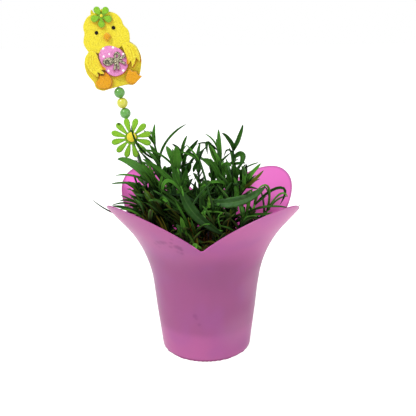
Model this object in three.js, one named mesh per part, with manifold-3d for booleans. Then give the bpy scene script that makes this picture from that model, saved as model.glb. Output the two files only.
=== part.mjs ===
// A potted dianthus: leafy stems in soil, in a plain grower pot that hangs by its rim in a frosted
// cover with four petals, and an Easter chick on a wire stuck in the soil beside the plant.
// Millimetres, +Z up, origin at the middle of the cover's foot, front towards -Y.

import * as THREE from 'three';
import { mergeVertices } from 'three/addons/utils/BufferGeometryUtils.js';
import Module from 'manifold-3d';

const wasm = await Module();
wasm.setup();

// Driving dimensions

const GAP = 0.3;
const SLACK = 0.03;

// The cover is a straight cone that curls outward above a height, cut off by a wavy edge.
const COVER = {
  footRadius: 42,
  coneAngle: THREE.MathUtils.degToRad(6.5),
  coneHeight: 69.5,
  curlRadius: 112,
  widestLean: THREE.MathUtils.degToRad(39.6),
  notchLength: 122.8,
  petalLength: 172.3,
  petalRise: 1.95,
  petalFullness: 1.24,
  petals: 4,
  turn: THREE.MathUtils.degToRad(-2.7),
  wall: 1,
  floor: 1.4,
  columns: 60,
  rows: 7,
};

const POT = {
  footHeight: 25,
  footRadius: 36.8,
  collarHeight: 93,
  collarRadius: 50.4,
  rimHeight: 100,
  rimFlare: 0.5,
  wall: 1.1,
  columns: 36,
  drainHoles: 6,
  drainRadius: 4,
  drainCircle: 24,
};

const SOIL = { height: 91, lump: 1.5, lumpLength: 11, rings: 4 };

const STEM = { rootRadius: 1.4, topRadius: 0.9, sides: 4, stations: 4, buried: 12 };

const BLADE = {
  keel: 0.75,
  lift: 0.1,
  rootWidth: 0.42,
  widestAt: 0.4,
  tipSharpness: [2.6, 0.75],
  stations: [0.22, 0.5, 0.78],
};

const PICK = {
  root: [-38, 0, 92],
  lean: THREE.MathUtils.degToRad(13),
  wireRadius: 0.9,
  wireBottom: -38,
  wireTop: 186,
  beadRadius: 4.7,
  beadHole: 1.25,
  beadHeights: [134.9, 144.1, 153.3],
  daisyHeight: 113.2,
  felt: 2.6,
  wingOverEgg: 1.4,
  bowDepth: 1.4,
  flowerDepth: 2,
  glue: 0.25,
};

// Colours

const finishes = {
  cover: { color: 0xa05c8a, roughness: 0.45 },
  pot: { color: 0x2a282c, roughness: 0.6 },
  soil: { color: 0x2b211b, roughness: 0.95 },
  foliage: { color: 0x2f6a35, roughness: 0.55 },
  wire: { color: 0x8c8c88, roughness: 0.4, metalness: 1 },
  green_bead: { color: 0x5da663, roughness: 0.35 },
  yellow_bead: { color: 0xe6dc5a, roughness: 0.35 },
  lime_felt: { color: 0x9ccc33, roughness: 0.9 },
  yellow_felt: { color: 0xf2e23a, roughness: 0.9 },
  orange_felt: { color: 0xf0a02c, roughness: 0.9 },
  pink_felt: { color: 0xe08fc8, roughness: 0.9 },
  black_plastic: { color: 0x141214, roughness: 0.3 },
  glitter: { color: 0x8d8468, roughness: 0.5, metalness: 0.4 },
};

const model = new THREE.Group();
const pick = new THREE.Group();
pick.position.fromArray(PICK.root);
pick.rotation.y = -PICK.lean;
model.add(pick);

function place(parent, name, finish, geometry) {
  const mesh = new THREE.Mesh(geometry, new THREE.MeshStandardMaterial(finishes[finish]));
  mesh.name = name;
  parent.add(mesh);
  return mesh;
}

// Solids

function solidOf(geometry) {
  const bare = new THREE.BufferGeometry();
  bare.setAttribute('position', geometry.getAttribute('position'));
  if (geometry.index) bare.setIndex(geometry.index);
  const merged = mergeVertices(bare, 1e-4);
  return new wasm.Manifold(new wasm.Mesh({
    numProp: 3,
    vertProperties: new Float32Array(merged.getAttribute('position').array),
    triVerts: new Uint32Array(merged.index.array),
  }));
}

function geometryOf(solid) {
  const { vertProperties, triVerts } = solid.getMesh();
  const geometry = new THREE.BufferGeometry();
  geometry.setAttribute('position', new THREE.BufferAttribute(vertProperties, 3));
  geometry.setIndex(new THREE.BufferAttribute(triVerts, 1));
  return geometry;
}

// A closed skin over rings of points. A ring of one point is a pole, and other rings end in a flat cap.
function skin(rings) {
  const points = rings.flat();
  const starts = [];
  let count = 0;
  for (const ring of rings) {
    starts.push(count);
    count += ring.length;
  }
  const triangles = [];
  for (let row = 0; row + 1 < rings.length; row++) {
    const lower = rings[row].length;
    const upper = rings[row + 1].length;
    const sides = Math.max(lower, upper);
    for (let i = 0; i < sides; i++) {
      const next = (i + 1) % sides;
      const a = starts[row] + (lower > 1 ? i : 0);
      const b = starts[row] + (lower > 1 ? next : 0);
      const c = starts[row + 1] + (upper > 1 ? next : 0);
      const d = starts[row + 1] + (upper > 1 ? i : 0);
      if (lower > 1) triangles.push(a, b, c);
      if (upper > 1) triangles.push(a, c, d);
    }
  }
  for (const [row, inward] of [[0, true], [rings.length - 1, false]]) {
    for (let i = 1; i + 1 < rings[row].length; i++) {
      const [a, b, c] = [starts[row], starts[row] + i, starts[row] + i + 1];
      if (inward) triangles.push(a, c, b);
      else triangles.push(a, b, c);
    }
  }
  const geometry = new THREE.BufferGeometry();
  const numbers = points.flatMap((p) => p.toArray());
  geometry.setAttribute('position', new THREE.Float32BufferAttribute(numbers, 3));
  geometry.setIndex(triangles);
  return geometry;
}

function ringAt(radius, height, columns) {
  return Array.from({ length: columns }, (_, i) => {
    const angle = (2 * Math.PI * i) / columns;
    return new THREE.Vector3(radius * Math.cos(angle), radius * Math.sin(angle), height);
  });
}

const pole = (height) => [new THREE.Vector3(0, 0, height)];

// Cover

// Radius, height and lean of the cover's outside, a length up its skin from the foot.
function coverAt(length) {
  const cone = COVER.coneHeight / Math.cos(COVER.coneAngle);
  const straight = Math.min(length, cone);
  const past = Math.max(length - cone, 0);
  const curl = Math.min(past, (COVER.widestLean - COVER.coneAngle) * COVER.curlRadius);
  const lean = COVER.coneAngle + curl / COVER.curlRadius;
  return {
    radius: COVER.footRadius + straight * Math.sin(COVER.coneAngle)
      + COVER.curlRadius * (Math.cos(COVER.coneAngle) - Math.cos(lean)) + (past - curl) * Math.sin(lean),
    height: straight * Math.cos(COVER.coneAngle)
      + COVER.curlRadius * (Math.sin(lean) - Math.sin(COVER.coneAngle)) + (past - curl) * Math.cos(lean),
    lean,
  };
}

// Length up the skin where the wavy edge cuts it, all the way round.
function coverEdge(angle) {
  const turns = (angle - COVER.turn) / (2 * Math.PI / COVER.petals);
  const across = Math.abs(2 * (turns - Math.floor(turns)) - 1);
  const fullness = (1 - across ** COVER.petalRise) ** COVER.petalFullness;
  return COVER.notchLength + (COVER.petalLength - COVER.notchLength) * fullness;
}

function coverRing(fraction, depth) {
  return Array.from({ length: COVER.columns }, (_, i) => {
    const angle = COVER.turn + (2 * Math.PI * i) / COVER.columns;
    const start = depth > 0 ? COVER.floor : 0;
    const { radius, height, lean } = coverAt(start + fraction * (coverEdge(angle) - start));
    const r = radius - depth * Math.cos(lean);
    return new THREE.Vector3(r * Math.cos(angle), r * Math.sin(angle), height + depth * Math.sin(lean));
  });
}

function makeCover() {
  const steps = Array.from({ length: COVER.rows + 1 }, (_, i) => i / COVER.rows);
  const outside = steps.map((step) => coverRing(step, 0));
  const inside = steps.map((step) => coverRing(step, COVER.wall)).reverse();
  return skin([pole(0), ...outside, ...inside, pole(COVER.floor)]);
}

// Grower pot

// Clear radius inside the cover's straight and curled wall at a height.
function insideCover(height) {
  let length = height;
  while (coverAt(length).height < height) length += 0.05;
  const { radius, lean } = coverAt(length);
  return (radius - COVER.wall / Math.cos(lean)) * Math.cos(Math.PI / COVER.columns);
}

const rimRadius = insideCover(POT.collarHeight) - GAP;

function makePot() {
  const wall = POT.wall;
  const profile = [
    [0, POT.footHeight],
    [POT.footRadius, POT.footHeight],
    [POT.collarRadius, POT.collarHeight],
    [rimRadius, POT.collarHeight],
    [rimRadius + POT.rimFlare, POT.rimHeight],
    [rimRadius + POT.rimFlare - wall, POT.rimHeight],
    [rimRadius - wall, POT.collarHeight + wall],
    [POT.collarRadius - wall, POT.collarHeight + wall],
    [POT.footRadius - wall, POT.footHeight + wall],
    [0, POT.footHeight + wall],
  ];
  const rings = profile.map(([r, z]) => (r > 0 ? ringAt(r, z, POT.columns) : pole(z)));
  let pot = solidOf(skin(rings));
  for (let i = 0; i < POT.drainHoles; i++) {
    const angle = (2 * Math.PI * (i + 0.5)) / POT.drainHoles;
    const drill = new THREE.CylinderGeometry(POT.drainRadius, POT.drainRadius, 6, 8).rotateX(Math.PI / 2);
    drill.translate(POT.drainCircle * Math.cos(angle), POT.drainCircle * Math.sin(angle), POT.footHeight);
    pot = pot.subtract(solidOf(drill));
  }
  return pot;
}

// Soil

function soilHeight(x, y) {
  const k = (2 * Math.PI) / SOIL.lumpLength;
  const lumps = Math.sin(k * x + 1) * Math.cos(k * y);
  const swells = Math.sin(0.45 * k * (x + y));
  return SOIL.height + SOIL.lump * (0.6 * lumps + 0.4 * swells);
}

function makeSoil() {
  const low = POT.footHeight + POT.wall + GAP;
  const slope = (POT.collarRadius - POT.footRadius) / (POT.collarHeight - POT.footHeight);
  const wallAt = (z) => POT.footRadius - POT.wall - 1.3 * GAP + slope * (z - POT.footHeight - POT.wall);
  const shoulder = SOIL.height - 2;
  const rings = [
    pole(low),
    ringAt(wallAt(low), low, POT.columns),
    ringAt(wallAt(shoulder), shoulder, POT.columns),
  ];
  for (let row = SOIL.rings; row > 0; row--) {
    const reach = (wallAt(shoulder) - GAP) * (row / SOIL.rings);
    rings.push(ringAt(reach, 0, POT.columns).map((p) => p.setZ(soilHeight(p.x, p.y))));
  }
  rings.push(pole(soilHeight(0, 0)));
  return solidOf(skin(rings));
}

// Chick on its wire. The pieces stand in front of the wire, and are drawn as seen from the front:
// across from the wire, and up along it from the soil.

function outline(points, rounded = true, steps = 2) {
  if (!rounded) return new THREE.Shape(points.map(([x, y]) => new THREE.Vector2(x, y)));
  const curve = new THREE.CatmullRomCurve3(points.map(([x, y]) => new THREE.Vector3(x, y, 0)), true);
  const count = points.length * steps;
  return new THREE.Shape(curve.getPoints(count).slice(0, count).map((p) => new THREE.Vector2(p.x, p.y)));
}

function feltFrom(shape, back, thickness) {
  const sheet = new THREE.ExtrudeGeometry(shape, { depth: thickness, bevelEnabled: false });
  return sheet.translate(0, 0, back).rotateX(Math.PI / 2);
}

// A flower's outline: round-ended petals that narrow to their roots.
function flowerOutline(centre, petals, reach, root, halfWidth, turn) {
  const points = [];
  for (let i = 0; i < petals; i++) {
    const angle = turn + (2 * Math.PI * i) / petals;
    const along = new THREE.Vector2(Math.cos(angle), Math.sin(angle));
    const across = new THREE.Vector2(-along.y, along.x);
    const edge = [[root, 0.35], [0.62 * reach, 0.85], [0.85 * reach, 0.95], [0.97 * reach, 0.5]];
    const stations = [...edge.map(([out, side]) => [out, -side]), ...edge.reverse()];
    for (const [out, side] of stations) {
      points.push([
        centre[0] + along.x * out + across.x * side * halfWidth,
        centre[1] + along.y * out + across.y * side * halfWidth,
      ]);
    }
  }
  return outline(points, false);
}

// A low dome that faces the front.
function dome(centre, back, radius, height, sides, rows) {
  const profile = [new THREE.Vector2(0, 0), new THREE.Vector2(radius, 0)];
  for (let i = 0; i <= rows; i++) {
    const angle = (Math.PI / 2) * (i / rows);
    const level = height * (0.25 + 0.75 * Math.sin(angle));
    profile.push(new THREE.Vector2(i === rows ? 0 : radius * Math.cos(angle), level));
  }
  return new THREE.LatheGeometry(profile, sides).rotateX(Math.PI).translate(centre[0], -back, centre[1]);
}

const shapes = {
  body: outline([[-15, 193.5], [-19.5, 189], [-22, 183], [-22, 175], [-18.5, 167], [-18, 162], [-13, 158.5],
    [-7, 158.5], [2, 158.6], [9, 158.4], [14, 157.2], [19.5, 161], [25, 172], [26.5, 179.5], [25, 187],
    [22, 191], [17, 196], [14, 203], [-11, 203]], true, 1),
  head: outline([[-14.5, 193.5], [-17, 199], [-16, 203.5], [-14, 207.5], [-13.5, 213], [-9.5, 218.5],
    [-4, 221], [4, 221.5], [10.5, 219.8], [16, 216.5], [18.8, 211.5], [19.5, 206.5], [22, 202], [22, 197],
    [19.8, 193.4], [13, 193.6], [8, 189], [-4, 189], [-9.5, 193.2]], true, 1),
  wingLeft: outline([[-10.3, 192.3], [-14.5, 193], [-18.5, 189], [-20.5, 183.5], [-19.5, 177.5], [-13, 171],
    [-13.2, 175.3], [-7, 172], [-8.7, 176], [-4, 176], [-6.5, 179.5], [-8.3, 185], [-9, 189]], false),
  wingRight: outline([[14.5, 192.8], [19.6, 192.8], [23.5, 190], [25.6, 186], [25.2, 180], [22.5, 173.5],
    [21.3, 177], [17, 172.5], [17, 175.8], [12.6, 175.3], [16.2, 178], [15.4, 182.5],
    [14.3, 187.5]], false),
  footLeft: outline([[-17, 166.5], [-15.5, 162], [-10, 159.8], [-5.5, 160], [-2.5, 165], [-3.3, 170],
    [-6, 174], [-8.5, 170.5], [-11.5, 172], [-13.5, 168.5]], false),
  footRight: outline([[10.5, 166.5], [9.3, 163], [11.5, 159], [15.5, 158], [19.5, 160.2], [24, 163],
    [20.2, 163.8], [19.5, 168], [16.3, 168], [14.5, 171.5]], false),
  beak: outline([[4.5, 204], [6.7, 199.8], [3, 197.3], [0.4, 201.5]], false),
  egg: outline([[-7.6, 184], [-7, 189], [-4, 193], [1.5, 194.5], [7.5, 192.2], [12, 187.5], [14.6, 181.5],
    [14.5, 175.5], [11.5, 171], [7, 168.4], [1.5, 168], [-3.3, 171], [-6.5, 177.5]], true, 2),
  bow: outline([[4.6, 179.6], [0.5, 178], [-4.6, 179.5], [-4.4, 183], [1, 184], [4.8, 182.2], [6.5, 186.8],
    [9.6, 187], [9, 182.8], [14, 184.2], [14.2, 181.2], [9, 180], [12.6, 177.5], [10.5, 176], [7, 178.4],
    [7.4, 172.4], [3.4, 172.6]], false),
  tuft: outline([[-4.8, 215], [-5, 220.5], [-4.6, 224.4], [-3.3, 222.6], [-1.2, 222.2], [0.5, 215]], false),
};

function makeBead(height) {
  const profile = [];
  const start = Math.asin(PICK.beadHole / PICK.beadRadius);
  const steps = 5;
  for (let i = 0; i <= steps; i++) {
    const angle = start + (i / steps) * (Math.PI - 2 * start);
    profile.push(new THREE.Vector2(PICK.beadRadius * Math.sin(angle), -PICK.beadRadius * Math.cos(angle)));
  }
  profile.push(profile[0].clone());
  return new THREE.LatheGeometry(profile, 13).rotateX(Math.PI / 2).translate(0, 0, height);
}

// A piece with room cut out of it for its neighbours, each a sheet that is larger all round by a gap.
function cutFor(piece, ...neighbours) {
  const directions = 8;
  let solid = solidOf(piece);
  for (const [shape, back, thickness] of neighbours) {
    for (let i = 0; i < directions; i++) {
      const angle = (2 * Math.PI * i) / directions;
      const room = feltFrom(shape, back - PICK.glue, thickness + 2 * PICK.glue);
      room.translate(GAP * Math.cos(angle), 0, GAP * Math.sin(angle));
      solid = solid.subtract(solidOf(room));
    }
  }
  return geometryOf(solid);
}

function makePick() {
  const { felt, glue } = PICK;
  const wireLength = PICK.wireTop - PICK.wireBottom;
  const wire = new THREE.CylinderGeometry(PICK.wireRadius, PICK.wireRadius, wireLength, 8);
  wire.rotateX(Math.PI / 2).translate(0, 0, PICK.wireBottom + wireLength / 2);
  place(pick, 'wire', 'wire', wire);
  const beads = ['green_bead', 'yellow_bead', 'green_bead'];
  beads.forEach((finish, i) => place(pick, `bead_${i + 1}`, finish, makeBead(PICK.beadHeights[i])));

  const backing = PICK.wireRadius + glue;
  const daisyAt = [0.3, PICK.daisyHeight];
  const daisyShape = flowerOutline(daisyAt, 12, 17.2, 6, 2.9, 0.03);
  place(pick, 'daisy', 'lime_felt', feltFrom(daisyShape, backing, felt));
  place(pick, 'daisy_centre', 'yellow_felt', dome(daisyAt, backing + felt + glue, 4.4, 2.4, 10, 2));

  const front = backing + felt + glue;
  const top = front + felt + glue;
  const eggSheet = [shapes.egg, front, felt];
  place(pick, 'chick_body', 'yellow_felt', feltFrom(shapes.body, backing, felt));
  place(pick, 'tuft', 'yellow_felt', feltFrom(shapes.tuft, backing, felt));
  place(pick, 'egg', 'pink_felt', feltFrom(...eggSheet));
  const wingDepth = felt + PICK.wingOverEgg;
  const headCut = [eggSheet, [shapes.wingLeft, front, wingDepth], [shapes.wingRight, front, wingDepth]];
  place(pick, 'chick_head', 'yellow_felt', cutFor(feltFrom(shapes.head, front, felt), ...headCut));
  place(pick, 'wing_left', 'yellow_felt', cutFor(feltFrom(shapes.wingLeft, front, wingDepth), eggSheet));
  place(pick, 'wing_right', 'yellow_felt', cutFor(feltFrom(shapes.wingRight, front, wingDepth), eggSheet));
  const feet = [['left', shapes.footLeft, shapes.wingLeft], ['right', shapes.footRight, shapes.wingRight]];
  for (const [side, foot, wing] of feet) {
    const sheet = cutFor(feltFrom(foot, front, felt), eggSheet, [wing, front, wingDepth]);
    place(pick, `foot_${side}`, 'orange_felt', sheet);
  }
  place(pick, 'beak', 'orange_felt', feltFrom(shapes.beak, top, felt));
  place(pick, 'eye_left', 'black_plastic', dome([-3.5, 206], top, 1.6, 1.2, 6, 2));
  place(pick, 'eye_right', 'black_plastic', dome([11, 206.5], top, 1.6, 1.2, 6, 2));
  place(pick, 'bow', 'glitter', feltFrom(shapes.bow, top, PICK.bowDepth));
  const flowerAt = [3.2, 218];
  const flower = flowerOutline(flowerAt, 5, 9.6, 2, 3.4, THREE.MathUtils.degToRad(41));
  place(pick, 'head_flower', 'lime_felt', feltFrom(flower, top, PICK.flowerDepth));
  const flowerFront = top + PICK.flowerDepth + glue;
  place(pick, 'head_flower_centre', 'yellow_felt', dome(flowerAt, flowerFront, 1.6, 1.2, 6, 2));
}

// Foliage

// A leaf: how far up its stem it grows, its width, how far its face turns to the front, the points
// that pull it into its curve, and its tip.
const leaf = (at, width, face, ...points) => ({ at, width, face, points });

// Leafy stems. Each has its root on the soil, the point that pulls it into its curve, its top and its
// leaves. "pairs" is the stretch of stem that carries the plain pairs, and "crown" the leaves at its top.
const stems = [
  { name: 'stem_left_tuft', root: [-30, 2], pull: [-34, 1, 150], top: [-44, 2, 195],
    pairs: [0.35, 0.72], crown: 0,
    leaves: [
      leaf(1, 3.5, 0.6, [-45, 3, 204], [-43, 4, 213]),
      leaf(0.99, 3, 0.6, [-47, 0, 208]),
      leaf(0.99, 3.5, 0.6, [-47, 2, 201], [-53, 2, 208]),
      leaf(0.82, 3, 0.5, [-36, -2, 202], [-15, -4, 214]),
      leaf(0.84, 3.6, 0.8, [-54, -17, 189], [-62, -17, 203], [-62, -15, 216]),
      leaf(0.8, 5.5, 0.7, [-48, -4, 196]),
      leaf(0.66, 5, 0.4, [-46, -4, 177], [-54, -8, 184]),
    ] },
  { name: 'stem_broad_pair', root: [-1, -29], pull: [-16, -22, 134], top: [-24, -10, 176],
    pairs: [0.3, 0.5], crown: 0,
    leaves: [
      leaf(1, 6.5, 0.8, [-33, -10, 196]),
      leaf(0.99, 8, 0.9, [-24, -14, 197]),
      leaf(0.98, 4, 0.5, [-28, -8, 193]),
      leaf(0.96, 2.6, 0.3, [-40, -8, 196], [-59, -8, 191]),
      leaf(0.76, 10, 0.9, [-15, -27, 137], [16, -42, 124]),
      leaf(0.72, 4.5, 0.4, [-35, -21, 180], [-38, -22, 155]),
      leaf(0.56, 4.5, 0.6, [-26, -24, 142], [-37, -22, 153]),
    ] },
  { name: 'stem_upright_pair', root: [-8, 8], pull: [-12, 6, 140], top: [-20, 4, 182],
    pairs: [0.4, 0.8], crown: 1,
    leaves: [
      leaf(1, 3.5, 0.6, [-20, 5, 192], [-15, 6, 202]),
      leaf(0.98, 4.5, 0.7, [-13, 3, 188], [-5, 2, 199]),
    ] },
  { name: 'stem_front_bud', root: [12, -27], pull: [10, -28, 142], top: [-4, -8, 182],
    pairs: [0.3, 0.5], crown: 1,
    leaves: [
      leaf(1, 2.2, 0.3, [-16, -8, 197]),
      leaf(0.99, 2.8, 0.3, [-13, -9, 189], [-22, -12, 191]),
      leaf(0.6, 9.5, 0.9, [30, -36, 146], [53, -24, 162]),
      leaf(0.58, 3.2, 0.7, [-9, -28, 139], [2, -34, 124], [16, -36, 126]),
    ] },
  { name: 'stem_tall_middle', root: [16, 2], pull: [16, 1, 140], top: [13, 0, 189],
    pairs: [0.35, 0.7], crown: 0,
    leaves: [
      leaf(0.86, 4.6, 0.6, [13, 2, 208]),
      leaf(0.87, 6.5, 0.8, [9, -2, 184], [4, -4, 196]),
      leaf(1, 2.2, 0.4, [4, -3, 200], [-7, -6, 196]),
      leaf(0.98, 2, 0.3, [9, 3, 200], [1, 6, 203]),
      leaf(0.98, 2.5, 0.5, [11, 4, 199]),
      leaf(0.8, 4, 0.6, [20, -4, 182], [24, -8, 176]),
    ] },
  { name: 'stem_tall_right', root: [26, 9], pull: [27, 8, 140], top: [26, 6, 188],
    pairs: [0.35, 0.75], crown: 0,
    leaves: [
      leaf(1, 5, 0.6, [24, 5, 198], [16, 4, 204]),
      leaf(0.99, 4.6, 0.6, [32, 7, 196], [35, 8, 211]),
      leaf(0.97, 2, 0.3, [20, 3, 193], [18, 2, 183]),
      leaf(0.93, 3.6, 0.5, [40, 2, 190], [31, -4, 174]),
      leaf(0.86, 3.5, 0.6, [32, 3, 176], [37, 2, 177]),
    ] },
  { name: 'stem_right', root: [18, -17], pull: [21, -14, 134], top: [37, 0, 159],
    pairs: [0.35, 0.75], crown: 1,
    leaves: [
      leaf(1, 4, 0.6, [38, 2, 176]),
      leaf(0.98, 4.5, 0.6, [42, 3, 166], [51, 4, 176]),
      leaf(0.88, 3.6, 0.5, [44, -1, 158], [53, -2, 171]),
    ] },
  { name: 'stem_right_rim', root: [36, 4], pull: [42, 5, 112], top: [57, 6, 128],
    pairs: [0.5, 0.7], crown: 0,
    leaves: [
      leaf(1, 2.6, 0.4, [63, 8, 147], [53, 8, 155]),
      leaf(0.98, 2.3, 0.4, [66, 9, 143], [77, 10, 143]),
      leaf(0.9, 2.4, 0.3, [72, 0, 126], [87, -4, 139]),
      leaf(0.95, 2, 0.3, [52, 2, 150]),
    ] },
  { name: 'stem_hook', root: [30, -10], pull: [34, -6, 118], top: [46, -2, 139],
    pairs: [0.45, 0.75], crown: 1,
    leaves: [
      leaf(1, 3.4, 0.5, [62, 0, 158], [82, -2, 160], [68, -4, 139]),
      leaf(0.95, 3, 0.5, [50, 2, 152]),
    ] },
  { name: 'stem_front_rim', root: [27, -27], pull: [30, -26, 118], top: [38, -21, 138],
    pairs: [0.45, 0.75], crown: 0,
    leaves: [
      leaf(1, 2.8, 0.4, [53, -26, 147], [73, -33, 145]),
      leaf(0.94, 3, 0.5, [46, -26, 136], [62, -34, 141]),
      leaf(0.9, 3.4, 0.6, [42, -18, 158]),
    ] },
  { name: 'stem_left_big', root: [-22, -25], pull: [-36, -24, 128], top: [-42, -12, 160],
    pairs: [0.35, 0.7], crown: 0,
    leaves: [
      leaf(1, 8.6, 0.8, [-52, -14, 173], [-64, -19, 188], [-75, -20, 187]),
      leaf(0.97, 3, 0.3, [-60, -10, 173], [-79, -10, 170]),
      leaf(0.99, 4.6, 0.6, [-47, -11, 172], [-55, -12, 182]),
      leaf(0.9, 5, 0.5, [-36, -18, 172]),
    ] },
  { name: 'stem_left', root: [-36, -8], pull: [-44, -6, 124], top: [-58, -2, 151],
    pairs: [0.45, 0.8], crown: 1,
    leaves: [
      leaf(1, 2.2, 0.4, [-72, -4, 162]),
      leaf(0.97, 2, 0.3, [-70, -7, 157]),
      leaf(0.94, 3, 0.5, [-60, -10, 146], [-68, -12, 154]),
      leaf(0.99, 2, 0.4, [-62, 0, 160], [-64, 0, 168]),
    ] },
  { name: 'stem_left_low', root: [-35, -17], pull: [-42, -16, 118], top: [-56, -14, 142],
    pairs: [0.45, 0.8], crown: 0,
    leaves: [
      leaf(1, 3, 0.4, [-66, -14, 150], [-76, -15, 148]),
      leaf(0.96, 2.2, 0.3, [-70, -18, 150], [-82, -22, 146]),
      leaf(0.97, 3, 0.5, [-60, -16, 152]),
    ] },
  { name: 'stem_left_rim', root: [-32, -25], pull: [-40, -25, 116], top: [-54, -25, 134],
    pairs: [0.5, 0.8], crown: 1,
    leaves: [
      leaf(1, 2.6, 0.4, [-64, -28, 145], [-75, -30, 145]),
    ] },
  { name: 'stem_left_notch', root: [-40, 8], pull: [-46, 6, 116], top: [-57, 2, 130],
    pairs: [0.6, 0.8], crown: 1,
    leaves: [
      leaf(1, 2.3, 0.4, [-80, -2, 124], [-102, -3, 146]),
    ] },
  { name: 'stem_low_left', root: [-16, -35], pull: [-17, -33, 102], top: [-18, -30, 111],
    pairs: [0.5, 0.5], crown: 2,
    leaves: [leaf(1, 7, 0.8, [-24, -31, 117], [-22, -28, 127])] },
  { name: 'stem_low_right', root: [7, -36], pull: [8, -34, 100], top: [8, -30, 108],
    pairs: [0.5, 0.5], crown: 2,
    leaves: [leaf(1, 6.5, 0.8, [12, -30, 116], [6, -27, 124])] },
  { name: 'stem_notch', root: [-6, -43], pull: [-7, -45, 99], top: [-9, -48, 106],
    pairs: [0.5, 0.5], crown: 2,
    leaves: [leaf(1, 4, 0.7, [-12, -52, 120], [-3, -55, 117])] },
];

// Plain stems fill the middle and the back, on a spiral from the middle outward. Their tops lean out
// from the middle and stay below the tall ones in front.
const PLAIN = {
  count: 13,
  middle: [-5, 17],
  spread: 7.2,
  stretch: [1.35, 0.85],
  height: [136, 172],
  pairs: [0.4, 0.85],
  crown: 3,
};
const GOLDEN = Math.PI * (3 - Math.sqrt(5));

// The plant is seen best from here, so what is moved clear of its neighbours moves along this line.
const VIEWPOINT = new THREE.Vector3(0, -593, 320);
const SHIFT = { stem: 3, leaf: 3.5 };
const UP = new THREE.Vector3(0, 0, 1);

// A repeatable draw between 0 and 1 for a list of whole numbers.
function draw(...keys) {
  let hash = 0x9e3779b9;
  for (const key of keys) {
    hash = Math.imul(hash ^ key, 0x85ebca6b);
    hash ^= hash >>> 13;
    hash = Math.imul(hash, 0xc2b2ae35);
    hash ^= hash >>> 16;
  }
  return (hash >>> 0) / 4294967296;
}

const between = (low, high, ...keys) => low + (high - low) * draw(...keys);

function plainStem(index) {
  const angle = GOLDEN * index + 0.6;
  const out = PLAIN.spread * Math.sqrt(index + 0.5);
  const x = PLAIN.middle[0] + PLAIN.stretch[0] * out * Math.cos(angle);
  const y = PLAIN.middle[1] + PLAIN.stretch[1] * out * Math.sin(angle);
  const height = between(...PLAIN.height, 900, index);
  const rise = height - SOIL.height;
  const lean = (0.22 + 0.006 * Math.abs(x)) * rise;
  const top = [x + lean * (x / 40), y + lean * ((y - 4) / 34), height];
  const pull = [x + 0.3 * (top[0] - x), y + 0.3 * (top[1] - y), SOIL.height + 0.6 * rise];
  const { pairs, crown } = PLAIN;
  return { name: `stem_plain_${index + 1}`, root: [x, y], pull, top, pairs, crown, leaves: [] };
}

// Plain leaves: lengths in millimetres, climbs from level in radians, and the share of each blade's
// length that it arches by.
const PAIR = {
  spacing: 13,
  length: [26, 44],
  width: [3.6, 6],
  arch: [0.06, 0.26],
  climb: [0.35, 0.95],
  front: [0, 0.45],
  crownLength: 0.62,
  crownClimb: [0.8, 1.35],
  crownStep: 0.03,
  outward: 0.012,
  wander: [0.25, 0.9],
  yielding: 0.04,
  tries: 9,
};
const LAST_LEAF = 0.985;
const SLIGHT_ARCH = 1.5;
const CROWN_KEY = 50;

const vector = (p) => new THREE.Vector3(...p);

function along(points) {
  const Curve = points.length === 4 ? THREE.CubicBezierCurve3 : THREE.QuadraticBezierCurve3;
  return new Curve(...points);
}

function slide(point, distance) {
  const sight = point.clone().sub(VIEWPOINT);
  return point.clone().addScaledVector(sight, distance / sight.y);
}

// 0, then steps to one side and the other in turn.
const swing = (attempt, step) => (attempt % 2 ? 1 : -1) * Math.ceil(attempt / 2) * step;

function stemCurve(stem, attempt) {
  const [x, y] = stem.root;
  const root = new THREE.Vector3(x, y, soilHeight(x, y));
  const pull = vector(stem.pull).add(new THREE.Vector3(0, swing(attempt, SHIFT.stem), 0));
  return along([root, pull, vector(stem.top)]);
}

function tube(points, radii, sides) {
  return skin(points.map((point, i) => {
    const before = points[Math.max(i - 1, 0)];
    const after = points[Math.min(i + 1, points.length - 1)];
    const tangent = after.clone().sub(before).normalize();
    const side = new THREE.Vector3(0, 1, 0).cross(tangent).normalize();
    const front = tangent.clone().cross(side);
    return Array.from({ length: sides }, (_, k) => {
      const angle = (2 * Math.PI * k) / sides;
      return point.clone()
        .addScaledVector(side, radii[i] * Math.cos(angle))
        .addScaledVector(front, radii[i] * Math.sin(angle));
    });
  }));
}

function stemTube(curve, extra = 0) {
  const root = curve.getPoint(0);
  const down = curve.getTangent(0).negate();
  const points = [root.clone().addScaledVector(down, STEM.buried + extra)];
  const radii = [STEM.rootRadius + extra];
  for (let i = 0; i <= STEM.stations; i++) {
    const t = i / STEM.stations;
    points.push(curve.getPoint(t));
    radii.push(THREE.MathUtils.lerp(STEM.rootRadius, STEM.topRadius, t) + extra);
  }
  return tube(points, radii, STEM.sides);
}

// Width of a blade along its length, as a share of its widest.
function bladeWidth(t) {
  const opening = Math.sin((Math.PI / 2) * Math.min(1, t / BLADE.widestAt));
  const closing = (1 - t ** BLADE.tipSharpness[0]) ** BLADE.tipSharpness[1];
  return (BLADE.rootWidth + (1 - BLADE.rootWidth) * opening) * closing;
}

function bladeSkin(curve, width, facing) {
  const rings = BLADE.stations.map((t) => {
    const point = curve.getPoint(t);
    const tangent = curve.getTangent(t);
    const side = tangent.clone().cross(facing).normalize();
    const normal = side.clone().cross(tangent);
    const half = 0.5 * width * bladeWidth(t);
    const edge = point.clone().addScaledVector(normal, BLADE.lift * half * 2);
    return [
      edge.clone().addScaledVector(side, -half),
      edge.clone().addScaledVector(side, half),
      point.clone().addScaledVector(normal, -BLADE.keel),
    ];
  });
  return skin([[curve.getPoint(0)], ...rings, [curve.getPoint(1)]]);
}

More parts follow.
